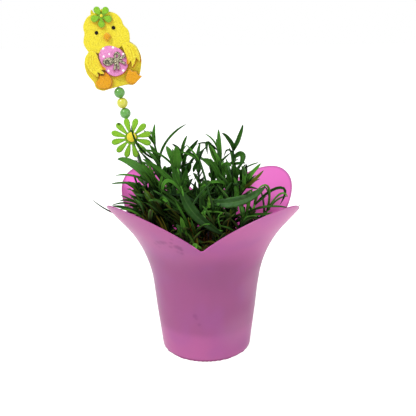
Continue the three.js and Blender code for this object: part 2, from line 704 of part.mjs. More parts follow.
// Where the face of a blade looks: up and back over its own stem, or more to the front.
function facingOf(base, tip, front) {
  const chord = tip.clone().sub(base).normalize();
  const level = new THREE.Vector3().crossVectors(chord, UP);
  const up = level.lengthSq() > 1e-6 ? level.cross(chord).normalize() : new THREE.Vector3(0, -1, 0);
  const sight = VIEWPOINT.clone().sub(base).normalize();
  return up.lerp(sight, front).normalize();
}

function chosenLeaf(spec, curve, attempt) {
  const shift = swing(attempt, SHIFT.leaf);
  const base = curve.getPoint(Math.min(spec.at, LAST_LEAF));
  const points = spec.points.map((p, i) => slide(vector(p), shift * ((i + 1) / spec.points.length)));
  const tip = points[points.length - 1];
  if (points.length === 1) points.unshift(base.clone().lerp(tip, 0.5).addScaledVector(UP, SLIGHT_ARCH));
  return { path: along([base, ...points]), width: spec.width, facing: facingOf(base, tip, spec.face) };
}

// A leaf of a plain pair or of a crown, by its stem, its place on it and the attempt.
function plainLeaf(curve, t, azimuth, crown, keys, attempt) {
  const base = curve.getPoint(t);
  const wander = PAIR.wander[attempt === 0 ? 0 : 1];
  const turn = azimuth + between(-wander, wander, ...keys, attempt, 1);
  const share = (crown ? PAIR.crownLength : 1) * (1 - PAIR.yielding * attempt);
  const length = between(...PAIR.length, ...keys, 2) * share;
  const climbs = crown ? PAIR.crownClimb : PAIR.climb;
  const climb = between(...climbs, ...keys, attempt, 3) + PAIR.yielding * attempt;
  const width = between(...PAIR.width, ...keys, 4);
  const out = new THREE.Vector3(Math.cos(turn), Math.sin(turn), 0)
    .addScaledVector(new THREE.Vector3(base.x, base.y, 0), PAIR.outward).normalize();
  const chord = out.clone().multiplyScalar(Math.cos(climb)).addScaledVector(UP, Math.sin(climb));
  const up = UP.clone().multiplyScalar(Math.cos(climb)).addScaledVector(out, -Math.sin(climb));
  const tip = base.clone().addScaledVector(chord, length);
  const arch = length * between(...PAIR.arch, ...keys, 5);
  const middle = base.clone().addScaledVector(chord, 0.45 * length).addScaledVector(up, arch);
  const facing = facingOf(base, tip, between(...PAIR.front, ...keys, 6));
  return { path: along([base, middle, tip]), width, facing };
}

// The leaves of one stem, hand-placed ones first, each as a function of the attempt.
function leavesOf(stem, index, curve) {
  const leaves = stem.leaves.map((spec) => (attempt) => chosenLeaf(spec, curve, attempt));
  const first = between(0, Math.PI, index, 7);
  const length = curve.getLength();
  const pairs = Math.round(((stem.pairs[1] - stem.pairs[0]) * length) / PAIR.spacing);
  for (let pair = 0; pair <= pairs; pair++) {
    const t = THREE.MathUtils.lerp(stem.pairs[0], stem.pairs[1], pairs ? pair / pairs : 0);
    for (const side of [0, 1]) {
      const azimuth = first + (Math.PI / 2) * pair + Math.PI * side;
      leaves.push((attempt) => plainLeaf(curve, t, azimuth, false, [index, pair, side], attempt));
    }
  }
  for (let i = 0; i < stem.crown; i++) {
    const azimuth = first + (2 * Math.PI * (i + 0.4)) / stem.crown;
    const t = LAST_LEAF - PAIR.crownStep * i;
    leaves.push((attempt) => plainLeaf(curve, t, azimuth, true, [index, CROWN_KEY + i, 0], attempt));
  }
  return leaves;
}

function makeFoliage(fixed, soil) {
  const all = [...stems, ...Array.from({ length: PLAIN.count }, (_, i) => plainStem(i))];
  const taken = fixed.map((solid) => ({ owner: -1, solid, box: solid.boundingBox() }));
  const near = (a, b) => [0, 1, 2].every((k) => a.min[k] - GAP < b.max[k] && b.min[k] - GAP < a.max[k]);
  const clear = (solid, owner) => {
    const box = solid.boundingBox();
    return taken.every((other) => other.owner === owner || !near(box, other.box)
      || solid.minGap(other.solid, 2 * GAP) >= GAP);
  };
  const take = (solid, owner) => taken.push({ owner, solid, box: solid.boundingBox() });
  const grown = [];
  all.forEach((stem, index) => {
    for (let attempt = 0; attempt < PAIR.tries; attempt++) {
      const curve = stemCurve(stem, attempt);
      const solid = solidOf(stemTube(curve));
      if (!clear(solid, index)) continue;
      take(solid, index);
      grown.push({ stem, index, curve, parts: [solid] });
      break;
    }
  });
  taken.push({ owner: -1, solid: soil, box: soil.boundingBox() });
  const queue = grown.flatMap((plant) => leavesOf(plant.stem, plant.index, plant.curve)
    .map((make, order) => ({ plant, make, order, chosen: order < plant.stem.leaves.length })));
  queue.sort((a, b) => b.chosen - a.chosen || a.order - b.order || a.plant.index - b.plant.index);
  for (const { plant, make } of queue) {
    for (let attempt = 0; attempt < PAIR.tries; attempt++) {
      const { path, width, facing } = make(attempt);
      const blade = solidOf(bladeSkin(path, width, facing));
      if (!clear(blade, plant.index)) continue;
      take(blade, plant.index);
      plant.parts.push(blade);
      break;
    }
  }
  return grown;
}

// Assembly

place(model, 'cover', 'cover', makeCover());
const pot = makePot();
place(model, 'grower_pot', 'pot', geometryOf(pot));
makePick();
pick.updateMatrixWorld(true);
const inPlace = (mesh) => solidOf(mesh.geometry.clone().applyMatrix4(mesh.matrixWorld));

let soil = makeSoil();
const fixed = [solidOf(makeCover()), pot, ...pick.children.map(inPlace)];
const foliage = makeFoliage(fixed, soil);
for (const { stem, curve, parts } of foliage) {
  soil = soil.subtract(solidOf(stemTube(curve, 1.4 * GAP)));
  place(model, stem.name, 'foliage', geometryOf(wasm.Manifold.union(parts).asOriginal().simplify(SLACK)));
}
const holeRadius = PICK.wireRadius + GAP;
const holeLength = 80;
const wireHole = new THREE.CylinderGeometry(holeRadius, holeRadius, holeLength, 8).rotateX(Math.PI / 2);
wireHole.translate(0, 0, PICK.wireBottom - GAP + holeLength / 2).applyMatrix4(pick.matrixWorld);
soil = soil.subtract(solidOf(wireHole));
place(model, 'soil', 'soil', geometryOf(soil));

export default model;
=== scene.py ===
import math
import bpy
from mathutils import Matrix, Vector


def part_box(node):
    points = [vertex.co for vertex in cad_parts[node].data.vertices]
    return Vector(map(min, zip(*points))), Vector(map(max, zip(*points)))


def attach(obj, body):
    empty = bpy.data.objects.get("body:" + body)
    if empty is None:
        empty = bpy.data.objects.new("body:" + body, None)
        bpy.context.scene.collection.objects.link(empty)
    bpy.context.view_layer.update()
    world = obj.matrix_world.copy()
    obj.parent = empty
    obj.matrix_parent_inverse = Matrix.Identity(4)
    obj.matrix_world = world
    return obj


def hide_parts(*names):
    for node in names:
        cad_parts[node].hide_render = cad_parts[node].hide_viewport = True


bl_info = {
    "name": "Potted Dianthus",
    "version": (1, 0, 0),
    "blender": (4, 5, 0),
    "location": "3D View > Sidebar > Dianthus",
    "description": "Dresses the packed model of a potted dianthus with an Easter pick",
    "category": "Object",
}

from dataclasses import dataclass
from functools import partial

import bmesh
import bpy
import numpy as np
from bpy.props import FloatProperty, FloatVectorProperty, IntProperty, PointerProperty
from mathutils import Matrix, Vector, noise
from mathutils.kdtree import KDTree

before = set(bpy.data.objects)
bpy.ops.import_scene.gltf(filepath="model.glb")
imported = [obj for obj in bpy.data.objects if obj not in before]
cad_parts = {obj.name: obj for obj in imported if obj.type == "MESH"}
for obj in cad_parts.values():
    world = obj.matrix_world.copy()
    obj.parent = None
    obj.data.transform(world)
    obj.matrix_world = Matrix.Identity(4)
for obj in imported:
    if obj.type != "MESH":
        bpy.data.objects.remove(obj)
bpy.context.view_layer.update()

# Lengths in this file are in millimetres until a mesh is made, which is in metres.
MM = 0.001
BODY = "root"


def linear(red, green, blue):
    """A colour picked on a screen, from 0 to 255, as Blender's linear colour."""
    shares = [value / 255 for value in (red, green, blue)]
    return tuple(s / 12.92 if s <= 0.04045 else ((s + 0.055) / 1.055) ** 2.4 for s in shares)


# Settings


def setting(name, description, default, kind=FloatProperty, **more):
    return kind(name=name, description=description, default=default, **more)


def length(name, description, default):
    return setting(name, description, default * MM, unit="LENGTH", precision=5)


def angle(name, description, default):
    return setting(name, description, math.radians(default), subtype="ANGLE")


def colour(name, description, *default):
    return setting(name, description, linear(*default), FloatVectorProperty, subtype="COLOR", min=0, max=1)


share = partial(setting, subtype="FACTOR", min=0, max=1)
count = partial(setting, kind=IntProperty, min=0)


class CoverSettings(bpy.types.PropertyGroup):
    foot_radius: length("Foot radius", "Outside of the cover where it stands", 42)
    corner: length("Corner", "Rounding between the floor and the wall", 1.6)
    cone_angle: angle("Cone angle", "Lean of the straight wall", 6.5)
    cone_height: length("Cone height", "Where the wall starts to curl outward", 69.5)
    curl_radius: length("Curl radius", "Radius of the outward curl", 112)
    widest_lean: angle("Widest lean", "Lean of the petals where the curl ends", 39.6)
    notch_length: length("Notch length", "Skin length from the foot up to a notch", 121.3)
    petal_length: length("Petal length", "Skin length from the foot up to a petal's top", 172.3)
    petal_rise: setting("Petal rise", "How steeply a petal's edge leaves its notch", 1.9)
    petal_fullness: setting("Petal fullness", "How broad a petal is at its top", 1.24)
    petals: count("Petals", "Petals round the cover", 4)
    turn: angle("Turn", "Where the first petal's notch stands", -2.7)
    wall: length("Wall", "Thickness of the plastic", 1)
    dents: length("Dents", "How far the thin wall bulges", 0.5)
    plastic: colour("Plastic", "Frosted plastic", 173, 103, 154)
    # Painted shade: the plastic is painted darker where the dark pot stands behind it.
    shaded: colour("Shaded plastic", "Where the dark pot stands behind it", 151, 92, 136)
    violet: colour("Violet cloud", "Cooler clouds in the plastic", 149, 94, 156)
    # Painted light: paler spots where light falls on the wall.
    faded: colour("Faded plastic", "Paler spots, painted where light falls on the wall", 196, 141, 178)
    lit: colour("Lit petal", "Light that falls through the left petal", 255, 120, 235)
    # Small dark spots, and painted shadows of the leaves and of the pot inside.
    smudge: colour("Smudge", "Small dark spots, painted shadows of leaves inside and painted shade of the pot", 82, 38, 86)
    # Painted shade along the edge where the cover stands on the floor.
    sole: colour("Sole", "Edge where it stands", 104, 34, 80)
    # Painted light: the inside of the petals is painted brighter for the light that comes through them from
    # behind.
    inner: colour("Inner face", "Inside of the petals, with light behind them", 240, 132, 214)
    glow: colour("Glow", "Light that comes through the plastic", 244, 130, 214)
    see_through: share("See-through", "Part of the light that passes the wall", 0.4)


class PotSettings(bpy.types.PropertyGroup):
    plastic: colour("Plastic", "Thin moulded plastic", 34, 31, 35)
    soil: colour("Soil", "Damp peat", 24, 18, 14)
    crumb: colour("Crumb", "Dry crumbs of bark", 66, 48, 32)
    perlite: colour("Perlite", "White volcanic grains", 214, 208, 198)
    crumb_density: setting("Crumb density", "Crumbs on a square metre", 90000)
    perlite_density: setting("Perlite density", "White grains on a square metre", 2600)


class FoliageSettings(bpy.types.PropertyGroup):
    deep: colour("Deep green", "Darkest leaves", 11, 46, 8)
    fresh: colour("Fresh green", "Brightest leaves", 84, 148, 48)
    rib: colour("Rib", "Midrib of a leaf", 104, 148, 70)
    # The underside colour also gives the waxy coat and the painted highlight on the upper faces.
    under: colour("Underside", "Bluish back and bloom of a leaf", 88, 124, 88)
    old: colour("Old leaf", "Leaves low on the stems", 108, 98, 26)
    bark: colour("Bark", "Woody foot of a stem", 116, 84, 34)
    spacing: setting("Spacing", "Millimetres between the added pairs of leaves", 11)
    see_through: share("See-through", "Part of the light that passes a leaf", 0.1)


class PickSettings(bpy.types.PropertyGroup):
    yellow: colour("Yellow felt", "Chick", 222, 207, 46)
    lime: colour("Lime felt", "Daisy and head flower", 130, 186, 36)
    orange: colour("Orange felt", "Feet and beak", 214, 152, 12)
    pink: colour("Pink felt", "Egg", 218, 138, 190)
    yellow_shade: colour("Shaded yellow", "Between the yellow pieces", 190, 92, 12)
    lime_shade: colour("Shaded lime", "At the roots of the petals", 62, 106, 12)
    orange_shade: colour("Shaded orange", "Beside the feet's neighbours", 186, 72, 8)
    pink_shade: colour("Shaded pink", "Under the bow", 150, 44, 96)
    green_bead: colour("Green bead", "Painted wood", 96, 159, 72)
    yellow_bead: colour("Yellow bead", "Painted wood", 202, 202, 70)
    wire: colour("Wire", "Steel", 150, 150, 146)
    glitter: colour("Glitter", "Grey and gold grains", 150, 144, 122)
    voxel: length("Voxel", "Grain of the felt pieces' meshes", 0.42)


class StageSettings(bpy.types.PropertyGroup):
    camera_place: setting(
        "Camera", "Where the camera stands", (0, -0.59332, 0.31974), FloatVectorProperty,
        subtype="TRANSLATION",
    )
    target_height: length("Target height", "Height that the camera looks at", 119.44)
    roll: angle("Roll", "Tilt of the picture", -0.797)
    focal: setting("Focal length", "Lens in millimetres on a 36 mm sensor", 58.72)
    shift: setting("Shift", "Shift of the lens", (0.0069, 0.0407), FloatVectorProperty, size=2)
    floor: colour("Floor", "Pale floor", 150, 150, 150)
    floor_glow: setting("Floor glow", "Light of its own, which softens the shadows on it", 1.0)
    backdrop: setting("Backdrop", "Brightness of the background", 1.0)
    sky: setting("Sky", "Strength of the light from all round", 0.55)
    key: setting("Key", "Strength of the soft light from the upper left", 2.4)
    key_size: angle("Key size", "How wide the soft light is", 14)
    fill: setting("Fill", "Power of the lamp on the other side, in watts", 3.8)


# Node trees


def sign(operation, turned=False):
    """A method that adds a Math node. A turned one takes its two values the other way round."""
    if turned:
        return lambda self, other: self.math(operation, other, self)
    return lambda self, *others: self.math(operation, self, *others)


class Field:
    """An output socket. The usual signs add Math nodes."""

    def __init__(self, tree, socket):
        self.tree = tree
        self.socket = socket

    def math(self, operation, *values):
        return self.tree.node("ShaderNodeMath", {"operation": operation}, *values)

    __add__ = sign("ADD")
    __radd__ = sign("ADD", turned=True)
    __sub__ = sign("SUBTRACT")
    __rsub__ = sign("SUBTRACT", turned=True)
    __mul__ = sign("MULTIPLY")
    __rmul__ = sign("MULTIPLY", turned=True)
    __truediv__ = sign("DIVIDE")
    __pow__ = sign("POWER")
    __abs__ = sign("ABSOLUTE")
    sin = sign("SINE")
    cos = sign("COSINE")
    floor = sign("FLOOR")
    least = sign("MINIMUM")
    most = sign("MAXIMUM")

    def between(self, low, high):
        return self.most(low).least(high)

    def step(self, start, end):
        """0 at start, 1 at end, with a smooth rise between them."""
        return self.tree.node("ShaderNodeMapRange", {"interpolation_type": "SMOOTHSTEP"}, self, start, end)

    def sibling(self, name):
        """Another output of the same node."""
        return Field(self.tree, self.socket.node.outputs[name])


class Tree:
    """A node tree, with one method that adds any node."""

    def __init__(self, tree):
        self.tree = tree

    def feed(self, socket, value):
        if isinstance(value, Field):
            self.tree.links.new(value.socket, socket)
        elif socket.type == "RGBA" and len(value) == 3:
            socket.default_value = (*value, 1)
        else:
            socket.default_value = value

    def find(self, sockets, name):
        """A socket by its identifier, or by its name with underscores for spaces."""
        for socket in sockets:
            if socket.identifier == name:
                return socket
        return sockets[name.replace("_", " ")]

    def node(self, kind, settings=None, *values, output=None, **named):
        made = self.tree.nodes.new(kind)
        for key, value in (settings or {}).items():
            setattr(made, key, value)
        for socket, value in zip(made.inputs, values):
            self.feed(socket, value)
        for name, value in named.items():
            self.feed(self.find(made.inputs, name), value)
        if not made.outputs:
            return None
        socket = made.outputs[0] if output is None else self.find(made.outputs, output)
        return Field(self, socket)

    def vector(self, operation, *values, **named):
        """A Vector Math node, by its operation."""
        return self.node("ShaderNodeVectorMath", {"operation": operation}, *values, **named)

    def noise(self, scale, detail=2.0, where=None, roughness=0.5):
        named = {} if where is None else {"Vector": where}
        return self.node(
            "ShaderNodeTexNoise", None, Scale=scale, Detail=detail, Roughness=roughness,
            output="Fac", **named,
        )


class Paint(Tree):
    """A material that is being made. Patterns lie on the object's own coordinates, in metres."""

    def __init__(self, name):
        self.material = bpy.data.materials.new(name)
        self.material.use_nodes = True
        super().__init__(self.material.node_tree)
        self.tree.nodes.clear()
        self.place = self.node("ShaderNodeTexCoord", output="Object")

    def attribute(self, name):
        return self.node("ShaderNodeAttribute", {"attribute_name": name}, output="Fac")

    def height(self):
        """Height over the floor, in metres."""
        return self.node("ShaderNodeSeparateXYZ", None, self.place, output="Z")

    def near(self, spot, reach):
        """1 at a spot, in millimetres, and 0 beyond its reach."""
        spot = tuple(MM * c for c in spot)
        away = self.vector("DISTANCE", self.place, spot, output="Value")
        return 1 - away.step(0.2 * reach * MM, reach * MM)

    def grain(self, scale, detail=2.0, roughness=0.5):
        return self.noise(scale, detail, self.place, roughness)

    def coats(self, base, *coats):
        """A colour under others, which lie over each other, each by its own mask."""
        for mask, tone in coats:
            base = self.node(
                "ShaderNodeMix", {"data_type": "RGBA"}, Factor_Float=mask, A_Color=base,
                B_Color=tone, output="Result_Color",
            )
        return base

    def bump(self, height, distance, strength=1.0):
        return self.node("ShaderNodeBump", None, Height=height, Distance=distance, Strength=strength)

    def finish(self, base, roughness, normal=None, see_through=0.0, glow=None, **constants):
        named = dict(constants, Base_Color=base, Roughness=roughness)
        if normal is not None:
            named["Normal"] = normal
        surface = self.node("ShaderNodeBsdfPrincipled", None, **named)
        if see_through:
            passing = self.node("ShaderNodeBsdfTranslucent", None, Color=glow)
            surface = self.node("ShaderNodeMixShader", None, see_through, surface, passing)
        self.node("ShaderNodeOutputMaterial", None, surface)
        return self.material


class Builder(Tree):
    """A Geometry Nodes tree that is being made, with named inputs."""

    def __init__(self, name):
        super().__init__(bpy.data.node_groups.new(name, "GeometryNodeTree"))
        self.inputs = {}
        self.entry = self.tree.nodes.new("NodeGroupInput")

    def ask(self, *names, kind="Float"):
        """Named inputs of the tree, which a modifier gives their values."""
        for name in names:
            item = self.tree.interface.new_socket(name, in_out="INPUT", socket_type="NodeSocket" + kind)
            self.inputs[name] = item.identifier
            yield Field(self, self.entry.outputs[name])

    def close(self, geometry, material):
        """Realize Instances and Set Material end the tree."""
        real = self.node("GeometryNodeRealizeInstances", None, geometry)
        done = self.node("GeometryNodeSetMaterial", None, real, Material=material)
        self.tree.interface.new_socket("Geometry", in_out="OUTPUT", socket_type="NodeSocketGeometry")
        self.node("NodeGroupOutput", None, done)

    def run(self, name, mesh=None, **values):
        """A plain mesh object that the tree makes from its inputs, and from a mesh if it takes one."""
        made = new_object(name, mesh or bpy.data.meshes.new(name))
        modifier = made.modifiers.new("Shape", "NODES")
        modifier.node_group = self.tree
        for key, value in values.items():
            modifier[self.inputs[key]] = value
        settle(made)
        return made


# Meshes


def new_object(name, data):
    made = bpy.data.objects.new(name, data)
    bpy.context.scene.collection.objects.link(made)
    return made


def settle(piece):
    """Turns what the modifiers of a piece make into its plain mesh."""
    graph = bpy.context.evaluated_depsgraph_get()
    mesh = bpy.data.meshes.new_from_object(
        piece.evaluated_get(graph), preserve_all_data_layers=True, depsgraph=graph
    )
    mesh.name = piece.name
    piece.modifiers.clear()
    piece.data = mesh


def place(piece, slot, *nodes):
    """The piece rides on the part and stands for CAD nodes, which it hides. Its slot is not used."""
    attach(piece, BODY)
    if nodes:
        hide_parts(*nodes)


def mark(mesh, name, values):
    """Gives the points of a mesh a named attribute."""
    layer = mesh.attributes.new(name, "FLOAT", "POINT")
    layer.data.foreach_set("value", np.asarray(values, np.float32))


def mesh_piece(name, material, points, faces, sharp=None):
    """A smooth piece from points in millimetres and faces."""
    mesh = bpy.data.meshes.new(name)
    mesh.from_pydata((np.asarray(points, float) * MM).tolist(), [], faces)
    mesh.materials.append(material)
    mesh.shade_smooth()
    if sharp is not None:
        mesh.set_sharp_from_angle(angle=math.radians(sharp))
    return new_object(name, mesh)


def face_outward(piece):
    """Turns the faces of a skin so that its lowest one looks down and the rest follow."""
    work = bmesh.new()
    work.from_mesh(piece.data)
    bmesh.ops.recalc_face_normals(work, faces=work.faces)
    lowest = min(work.faces, key=lambda face: face.calc_center_median().z)
    if lowest.normal.z > 0:
        bmesh.ops.reverse_faces(work, faces=work.faces)
    work.to_mesh(piece.data)
    work.free()


def round_angles(sides):
    return math.tau * np.arange(sides) / sides


def solid_faces(sides, rings, start=0):
    """Faces of a closed solid whose points are a pole, its rings and another pole."""
    first = start + 1
    last = first + sides * rings
    faces = []
    for i in range(sides):
        j = (i + 1) % sides
        faces.append((start, first + j, first + i))
        for low in range(first, last - sides, sides):
            faces.append((low + i, low + j, low + sides + j, low + sides + i))
        faces.append((last - sides + i, last - sides + j, last))
    return faces


def band_faces(sides, rings, closed, start=0):
    """Faces from ring to ring, and from the last ring to the first if they are closed."""
    faces = []
    for ring in range(rings if closed else rings - 1):
        low, high = start + ring * sides, start + (ring + 1) % rings * sides
        for i in range(sides):
            j = (i + 1) % sides
            faces.append((low + i, low + j, high + j, high + i))
    return faces


def lathe(profile, sides):
    """Points and faces of a closed solid turned round the upright axis. The profile runs from
    the axis to the axis, up its outside, and its first and last points are poles."""
    points = [(0, 0, profile[0][1])]
    for radius, height in profile[1:-1]:
        points += [(radius * math.cos(a), radius * math.sin(a), height) for a in round_angles(sides)]
    points.append((0, 0, profile[-1][1]))
    return points, solid_faces(sides, len(profile) - 2)


# Finishes


def scaled(colour, factor):
    """A colour made darker or brighter."""
    return tuple(min(1, factor * c) for c in colour)


# Darker spots on the cover's wall: turn in degrees, height, reach and strength. The first three
# are small dark spots low on the front, the next thirteen are painted shadows of leaves that touch
# the wall from inside, and the last three are broad painted shade of the dark pot inside.
DARK_SPOTS_AND_SHADOWS = (
    (-102.4, 49.6, 3.2, 0.35), (-98, 40.7, 2.4, 0.35), (-100.8, 47, 2.4, 0.25),
    (-126.5, 122.7, 3, 0.3), (-122.7, 125.1, 4, 0.4), (-119.5, 126, 4.2, 0.5),
    (-117, 126.8, 3, 0.4), (-124.8, 119.2, 2.6, 0.2), (-110.7, 131.9, 2.4, 0.4),
    (-112.5, 127.3, 2.6, 0.5), (-114.4, 122, 2.8, 0.4), (-109.4, 123.1, 4.4, 0.5),
    (-108.2, 122.1, 4.4, 0.5), (-106.9, 119.9, 2.6, 0.5), (-107.4, 115.7, 2.6, 0.4),
    (-110.2, 117, 3, 0.25), (-68, 105, 30, 0.13), (-59, 118, 34, 0.16), (-82, 88, 26, 0.06),
)
# Painted light on the cover's wall, as paler spots: turn in degrees, height, reach and strength.
PAINTED_LIGHT_SPOTS = ((-50.6, 29, 26, 0.3), (-34, 72, 24, 0.3), (-112, 112, 24, 0.12))
# Where light falls through the left petal, in millimetres, and its reach.
LIT_SPOT = ((-69.5, 52, 148), 17)
# Heights, in metres, between which the painted shade of the pot inside comes and goes, and the
# painted shade at the sole ends.
SHADE_COMES = (0.0235, 0.0325)
SHADE_GOES = (0.098, 0.118)
SOLE_SHADE_ENDS = (0.0014, 0.0034)


def on_wall(paint, settings, spots):
    """Soft spots on the cover's wall."""
    _, radii, heights = cover_path(settings)
    mask = 0
    for turn, up, reach, strength in spots:
        turn = math.radians(turn)
        radius = float(np.interp(up, heights, radii))
        spot = (radius * math.cos(turn), radius * math.sin(turn), up)
        mask = (paint.near(spot, reach) * strength).most(mask)
    return mask


def cover_plastic(settings):
    """Frosted translucent polypropylene: cloudy colour, painted shade where the dark pot stands
    inside, an inner face painted brighter for the light behind it, paler spots of painted light,
    small dark spots, painted shadows of leaves and of the pot, painted shade at the sole, a
    painted glow where light falls through the left petal, and a fine frosted grain."""
    paint = Paint("Frosted plastic")
    cloud = paint.grain(26, 3, 0.6)
    inside = paint.attribute("inside")
    height = paint.height()
    # Painted shade of the dark pot inside, between two heights, broken up by the clouds.
    shade = height.step(*SHADE_COMES) * (1 - height.step(*SHADE_GOES))
    base = paint.coats(
        settings.plastic,
        ((shade + 0.5 * (cloud - 0.5)).between(0, 1), settings.shaded),
        (paint.grain(34, 2).step(0.42, 0.66) * 0.4, settings.violet),
        # Inner face painted brighter for the light behind it.
        (inside, settings.inner),
        # Paler spots of painted light.
        (on_wall(paint, settings, PAINTED_LIGHT_SPOTS), settings.faded),
        # Small dark spots, painted leaf shadows and painted shade of the pot.
        (on_wall(paint, settings, DARK_SPOTS_AND_SHADOWS), settings.smudge),
        # Painted shade along the sole.
        ((1 - height.step(*SOLE_SHADE_ENDS)) * 0.85, settings.sole),
    )
    relief = paint.grain(2600, 2) * 0.6 + paint.grain(420, 3) * 0.4
    # Painted light: a glow that stands in for light falling through the left petal.
    lit = paint.coats((0, 0, 0), (inside * paint.near(*LIT_SPOT) * 0.7, settings.lit))
    return paint.finish(
        base, 0.42 + 0.14 * cloud, paint.bump(relief, 0.00006, 0.5),
        settings.see_through, settings.glow, Specular_IOR_Level=0.4,
        Sheen_Weight=0.8, Sheen_Roughness=0.3, Emission_Color=lit, Emission_Strength=1.0,
    )


def two_tones(name, low, high, grain, mask=None, roughness=(0.5, 0.1), bump=None, **constants):
    """A finish whose noise mixes two tones, roughens the surface and raises it. The mask gives
    the noise at which the tones change."""
    paint = Paint(name)
    noise = paint.grain(*grain)
    base = paint.coats(low, (noise.step(*mask) if mask else noise, high))
    relief = paint.bump(noise, *bump) if bump else None
    return paint.finish(base, roughness[0] + roughness[1] * noise, relief, **constants)


def pot_plastic(settings):
    paint = Paint("Grower pot plastic")
    scuff = paint.grain(180, 4, 0.7)
    base = paint.coats(settings.plastic, (scuff.step(0.5, 0.75), scaled(settings.plastic, 1.7)))
    return paint.finish(base, 0.34 + 0.3 * scuff, paint.bump(paint.grain(900), 0.00005, 0.5))


def earth(name, tone, scale=240):
    """Damp peat, bark or perlite: grains of light and dark, and a rough face."""
    paint = Paint(name)
    grains = paint.grain(scale, 5, 0.75)
    dark = scaled(tone, 0.35)
    base = paint.coats(
        dark,
        (grains.step(0.3, 0.72), scaled(tone, 1.9)),
        (paint.grain(scale * 0.3, 3).step(0.35, 0.7) * 0.5, dark),
    )
    return paint.finish(
        base, 0.86 + 0.12 * grains, paint.bump(grains, 0.0004, 0.8), Specular_IOR_Level=0.15
    )


def leaf_skin(settings):
    """Leaves: tone and age come from each blade, and the midrib and veins follow it. Painted shade
    darkens their bases and the leaves deep in and low in the plant, and a painted highlight lies
    with the waxy coat on their upper faces.
    """
    paint = Paint("Dianthus leaf")
    across, along, tone, age, back, shelter, dust = map(paint.attribute, Growth.names)
    patch = paint.grain(140, 3)
    flesh = (tone + 0.5 * (patch - 0.5)).between(0, 1)
    worn = (age + 0.35 * age * (patch - 0.5)).between(0, 1)
    rib = (1 - abs(across).step(0.02, 0.14)) * (1 - along.step(0.55, 0.98)) * (1 - back)
    # Waxy coat with a painted highlight, on the upper faces only.
    bloom_and_highlight = (0.35 + 0.65 * paint.grain(420, 3, 0.65).step(0.35, 0.65)) * dust * (1 - back)
    # Painted shade: leaves are darker towards their bases, where the axils lie in shade.
    axil_shade = (1 - along.step(0.0, 0.4)) * 0.45
    # Painted shade of leaves that lie under and among others, and of their bases.
    painted_shade = 1 - (1 - axil_shade) * (1 - shelter * 0.92 * (1 - 0.4 * age))
    green = paint.coats(
        settings.deep,
        (flesh, settings.fresh),
        (back * 0.35, settings.under),
        (along.step(0.9, 1.0) * 0.5, settings.deep),
        (worn, settings.old),
        (rib * 0.28, settings.rib),
        (bloom_and_highlight, settings.under),
        (abs(across).step(0.8, 1.0) * 0.3, settings.rib),
        (painted_shade, scaled(settings.deep, 0.16)),
    )
    relief = (across * 22).sin() * 0.25 + paint.grain(1100, 2) * 0.5 - rib * 0.7
    return paint.finish(
        green, 0.36 + 0.18 * patch, paint.bump(relief, 0.00012, 0.6),
        (1 - painted_shade) * settings.see_through, scaled(settings.fresh, 1.5),
        Specular_IOR_Level=0.06,
    )


def stem_skin(settings):
    """Stems: woody and brown at the foot, then jointed green."""
    paint = Paint("Dianthus stem")
    streak = paint.grain(300, 4, 0.65)
    worn = 1 - (paint.attribute("along") + 0.25 * (streak - 0.5)).step(0.16, 0.6)
    base = paint.coats(
        settings.deep, (paint.attribute("tone"), settings.fresh), (worn * 0.85, settings.bark)
    )
    return paint.finish(base, 0.5 + 0.2 * streak, paint.bump(streak, 0.00025, 0.6), Specular_IOR_Level=0.2)


def felt(name, tone, shade, stain=None):
    """Pressed felt: matted fibres with paler and darker flecks, painted shade in its grooves and
    beside its neighbours, a soft sheen, and a stain if it has one."""
    paint = Paint(name)
    mat = paint.grain(900, 4, 0.7)
    fleck = paint.grain(430, 3)
    base = paint.coats(
        scaled(tone, 0.76),
        (mat.step(0.35, 0.65), tuple(min(1, 1.12 * c + 0.02) for c in tone)),
        (fleck.step(0.4, 0.62), tone),
        (fleck.step(0.62, 0.74) * 0.3, scaled(tone, 0.6)),
        # Painted shade in the grooves and beside the neighbours, carried by the groove attribute.
        (paint.attribute("groove"), shade),
    )
    if stain is not None:
        base = paint.coats(base, (paint.near(*stain) * 0.9, scaled(shade, 0.1)))
    return paint.finish(
        base, 0.9 - 0.1 * mat, paint.bump(mat, 0.0003, 0.7),
        Sheen_Weight=0.35, Sheen_Roughness=0.5, Specular_IOR_Level=0.15,
    )


def painted_wood(name, tone):
    """Satin paint on turned wood, with faint grain rings and paler patches."""
    paint = Paint(name)
    rings = paint.grain(330, 4, 0.6)
    base = paint.coats(
        tone,
        (rings.step(0.35, 0.8) * 0.6, scaled(tone, 0.7)),
        (paint.grain(120, 2).step(0.5, 0.8) * 0.3, scaled(tone, 1.5)),
    )
    return paint.finish(base, 0.24 + 0.16 * rings, paint.bump(rings, 0.00006, 0.5), Coat_Weight=0.3)


def steel(settings):
    return two_tones(
        "Wire steel", scaled(settings.wire, 0.6), settings.wire, (700, 3, 0.7), (0.35, 0.7),
        (0.32, 0.2), (0.00003, 0.5), Metallic=0.9,
    )


def sparkle(settings):
    """Glitter: each grain takes its own brightness from the noise it lies in."""
    paint = Paint("Glitter")
    cell = paint.grain(1900, 1)
    dark = scaled(settings.glitter, 0.24)
    base = paint.coats(
        dark,
        (cell.step(0.44, 0.56), scaled(settings.glitter, 2.4)),
        (paint.grain(620, 1).step(0.52, 0.6) * 0.75, dark),
    )
    return paint.finish(base, 0.2 + 0.3 * cell, Metallic=0.45)


def black_bead():
    return two_tones(
        "Black bead", (0.004, 0.002, 0.004), (0.012, 0.006, 0.01), (500, 2), None, (0.45, 0.15),
        Specular_IOR_Level=0.12,
    )


def white_paint():
    return two_tones("White paint", (0.78, 0.74, 0.76), (0.95, 0.93, 0.94), (600, 2), bump=(0.00005, 0.5))


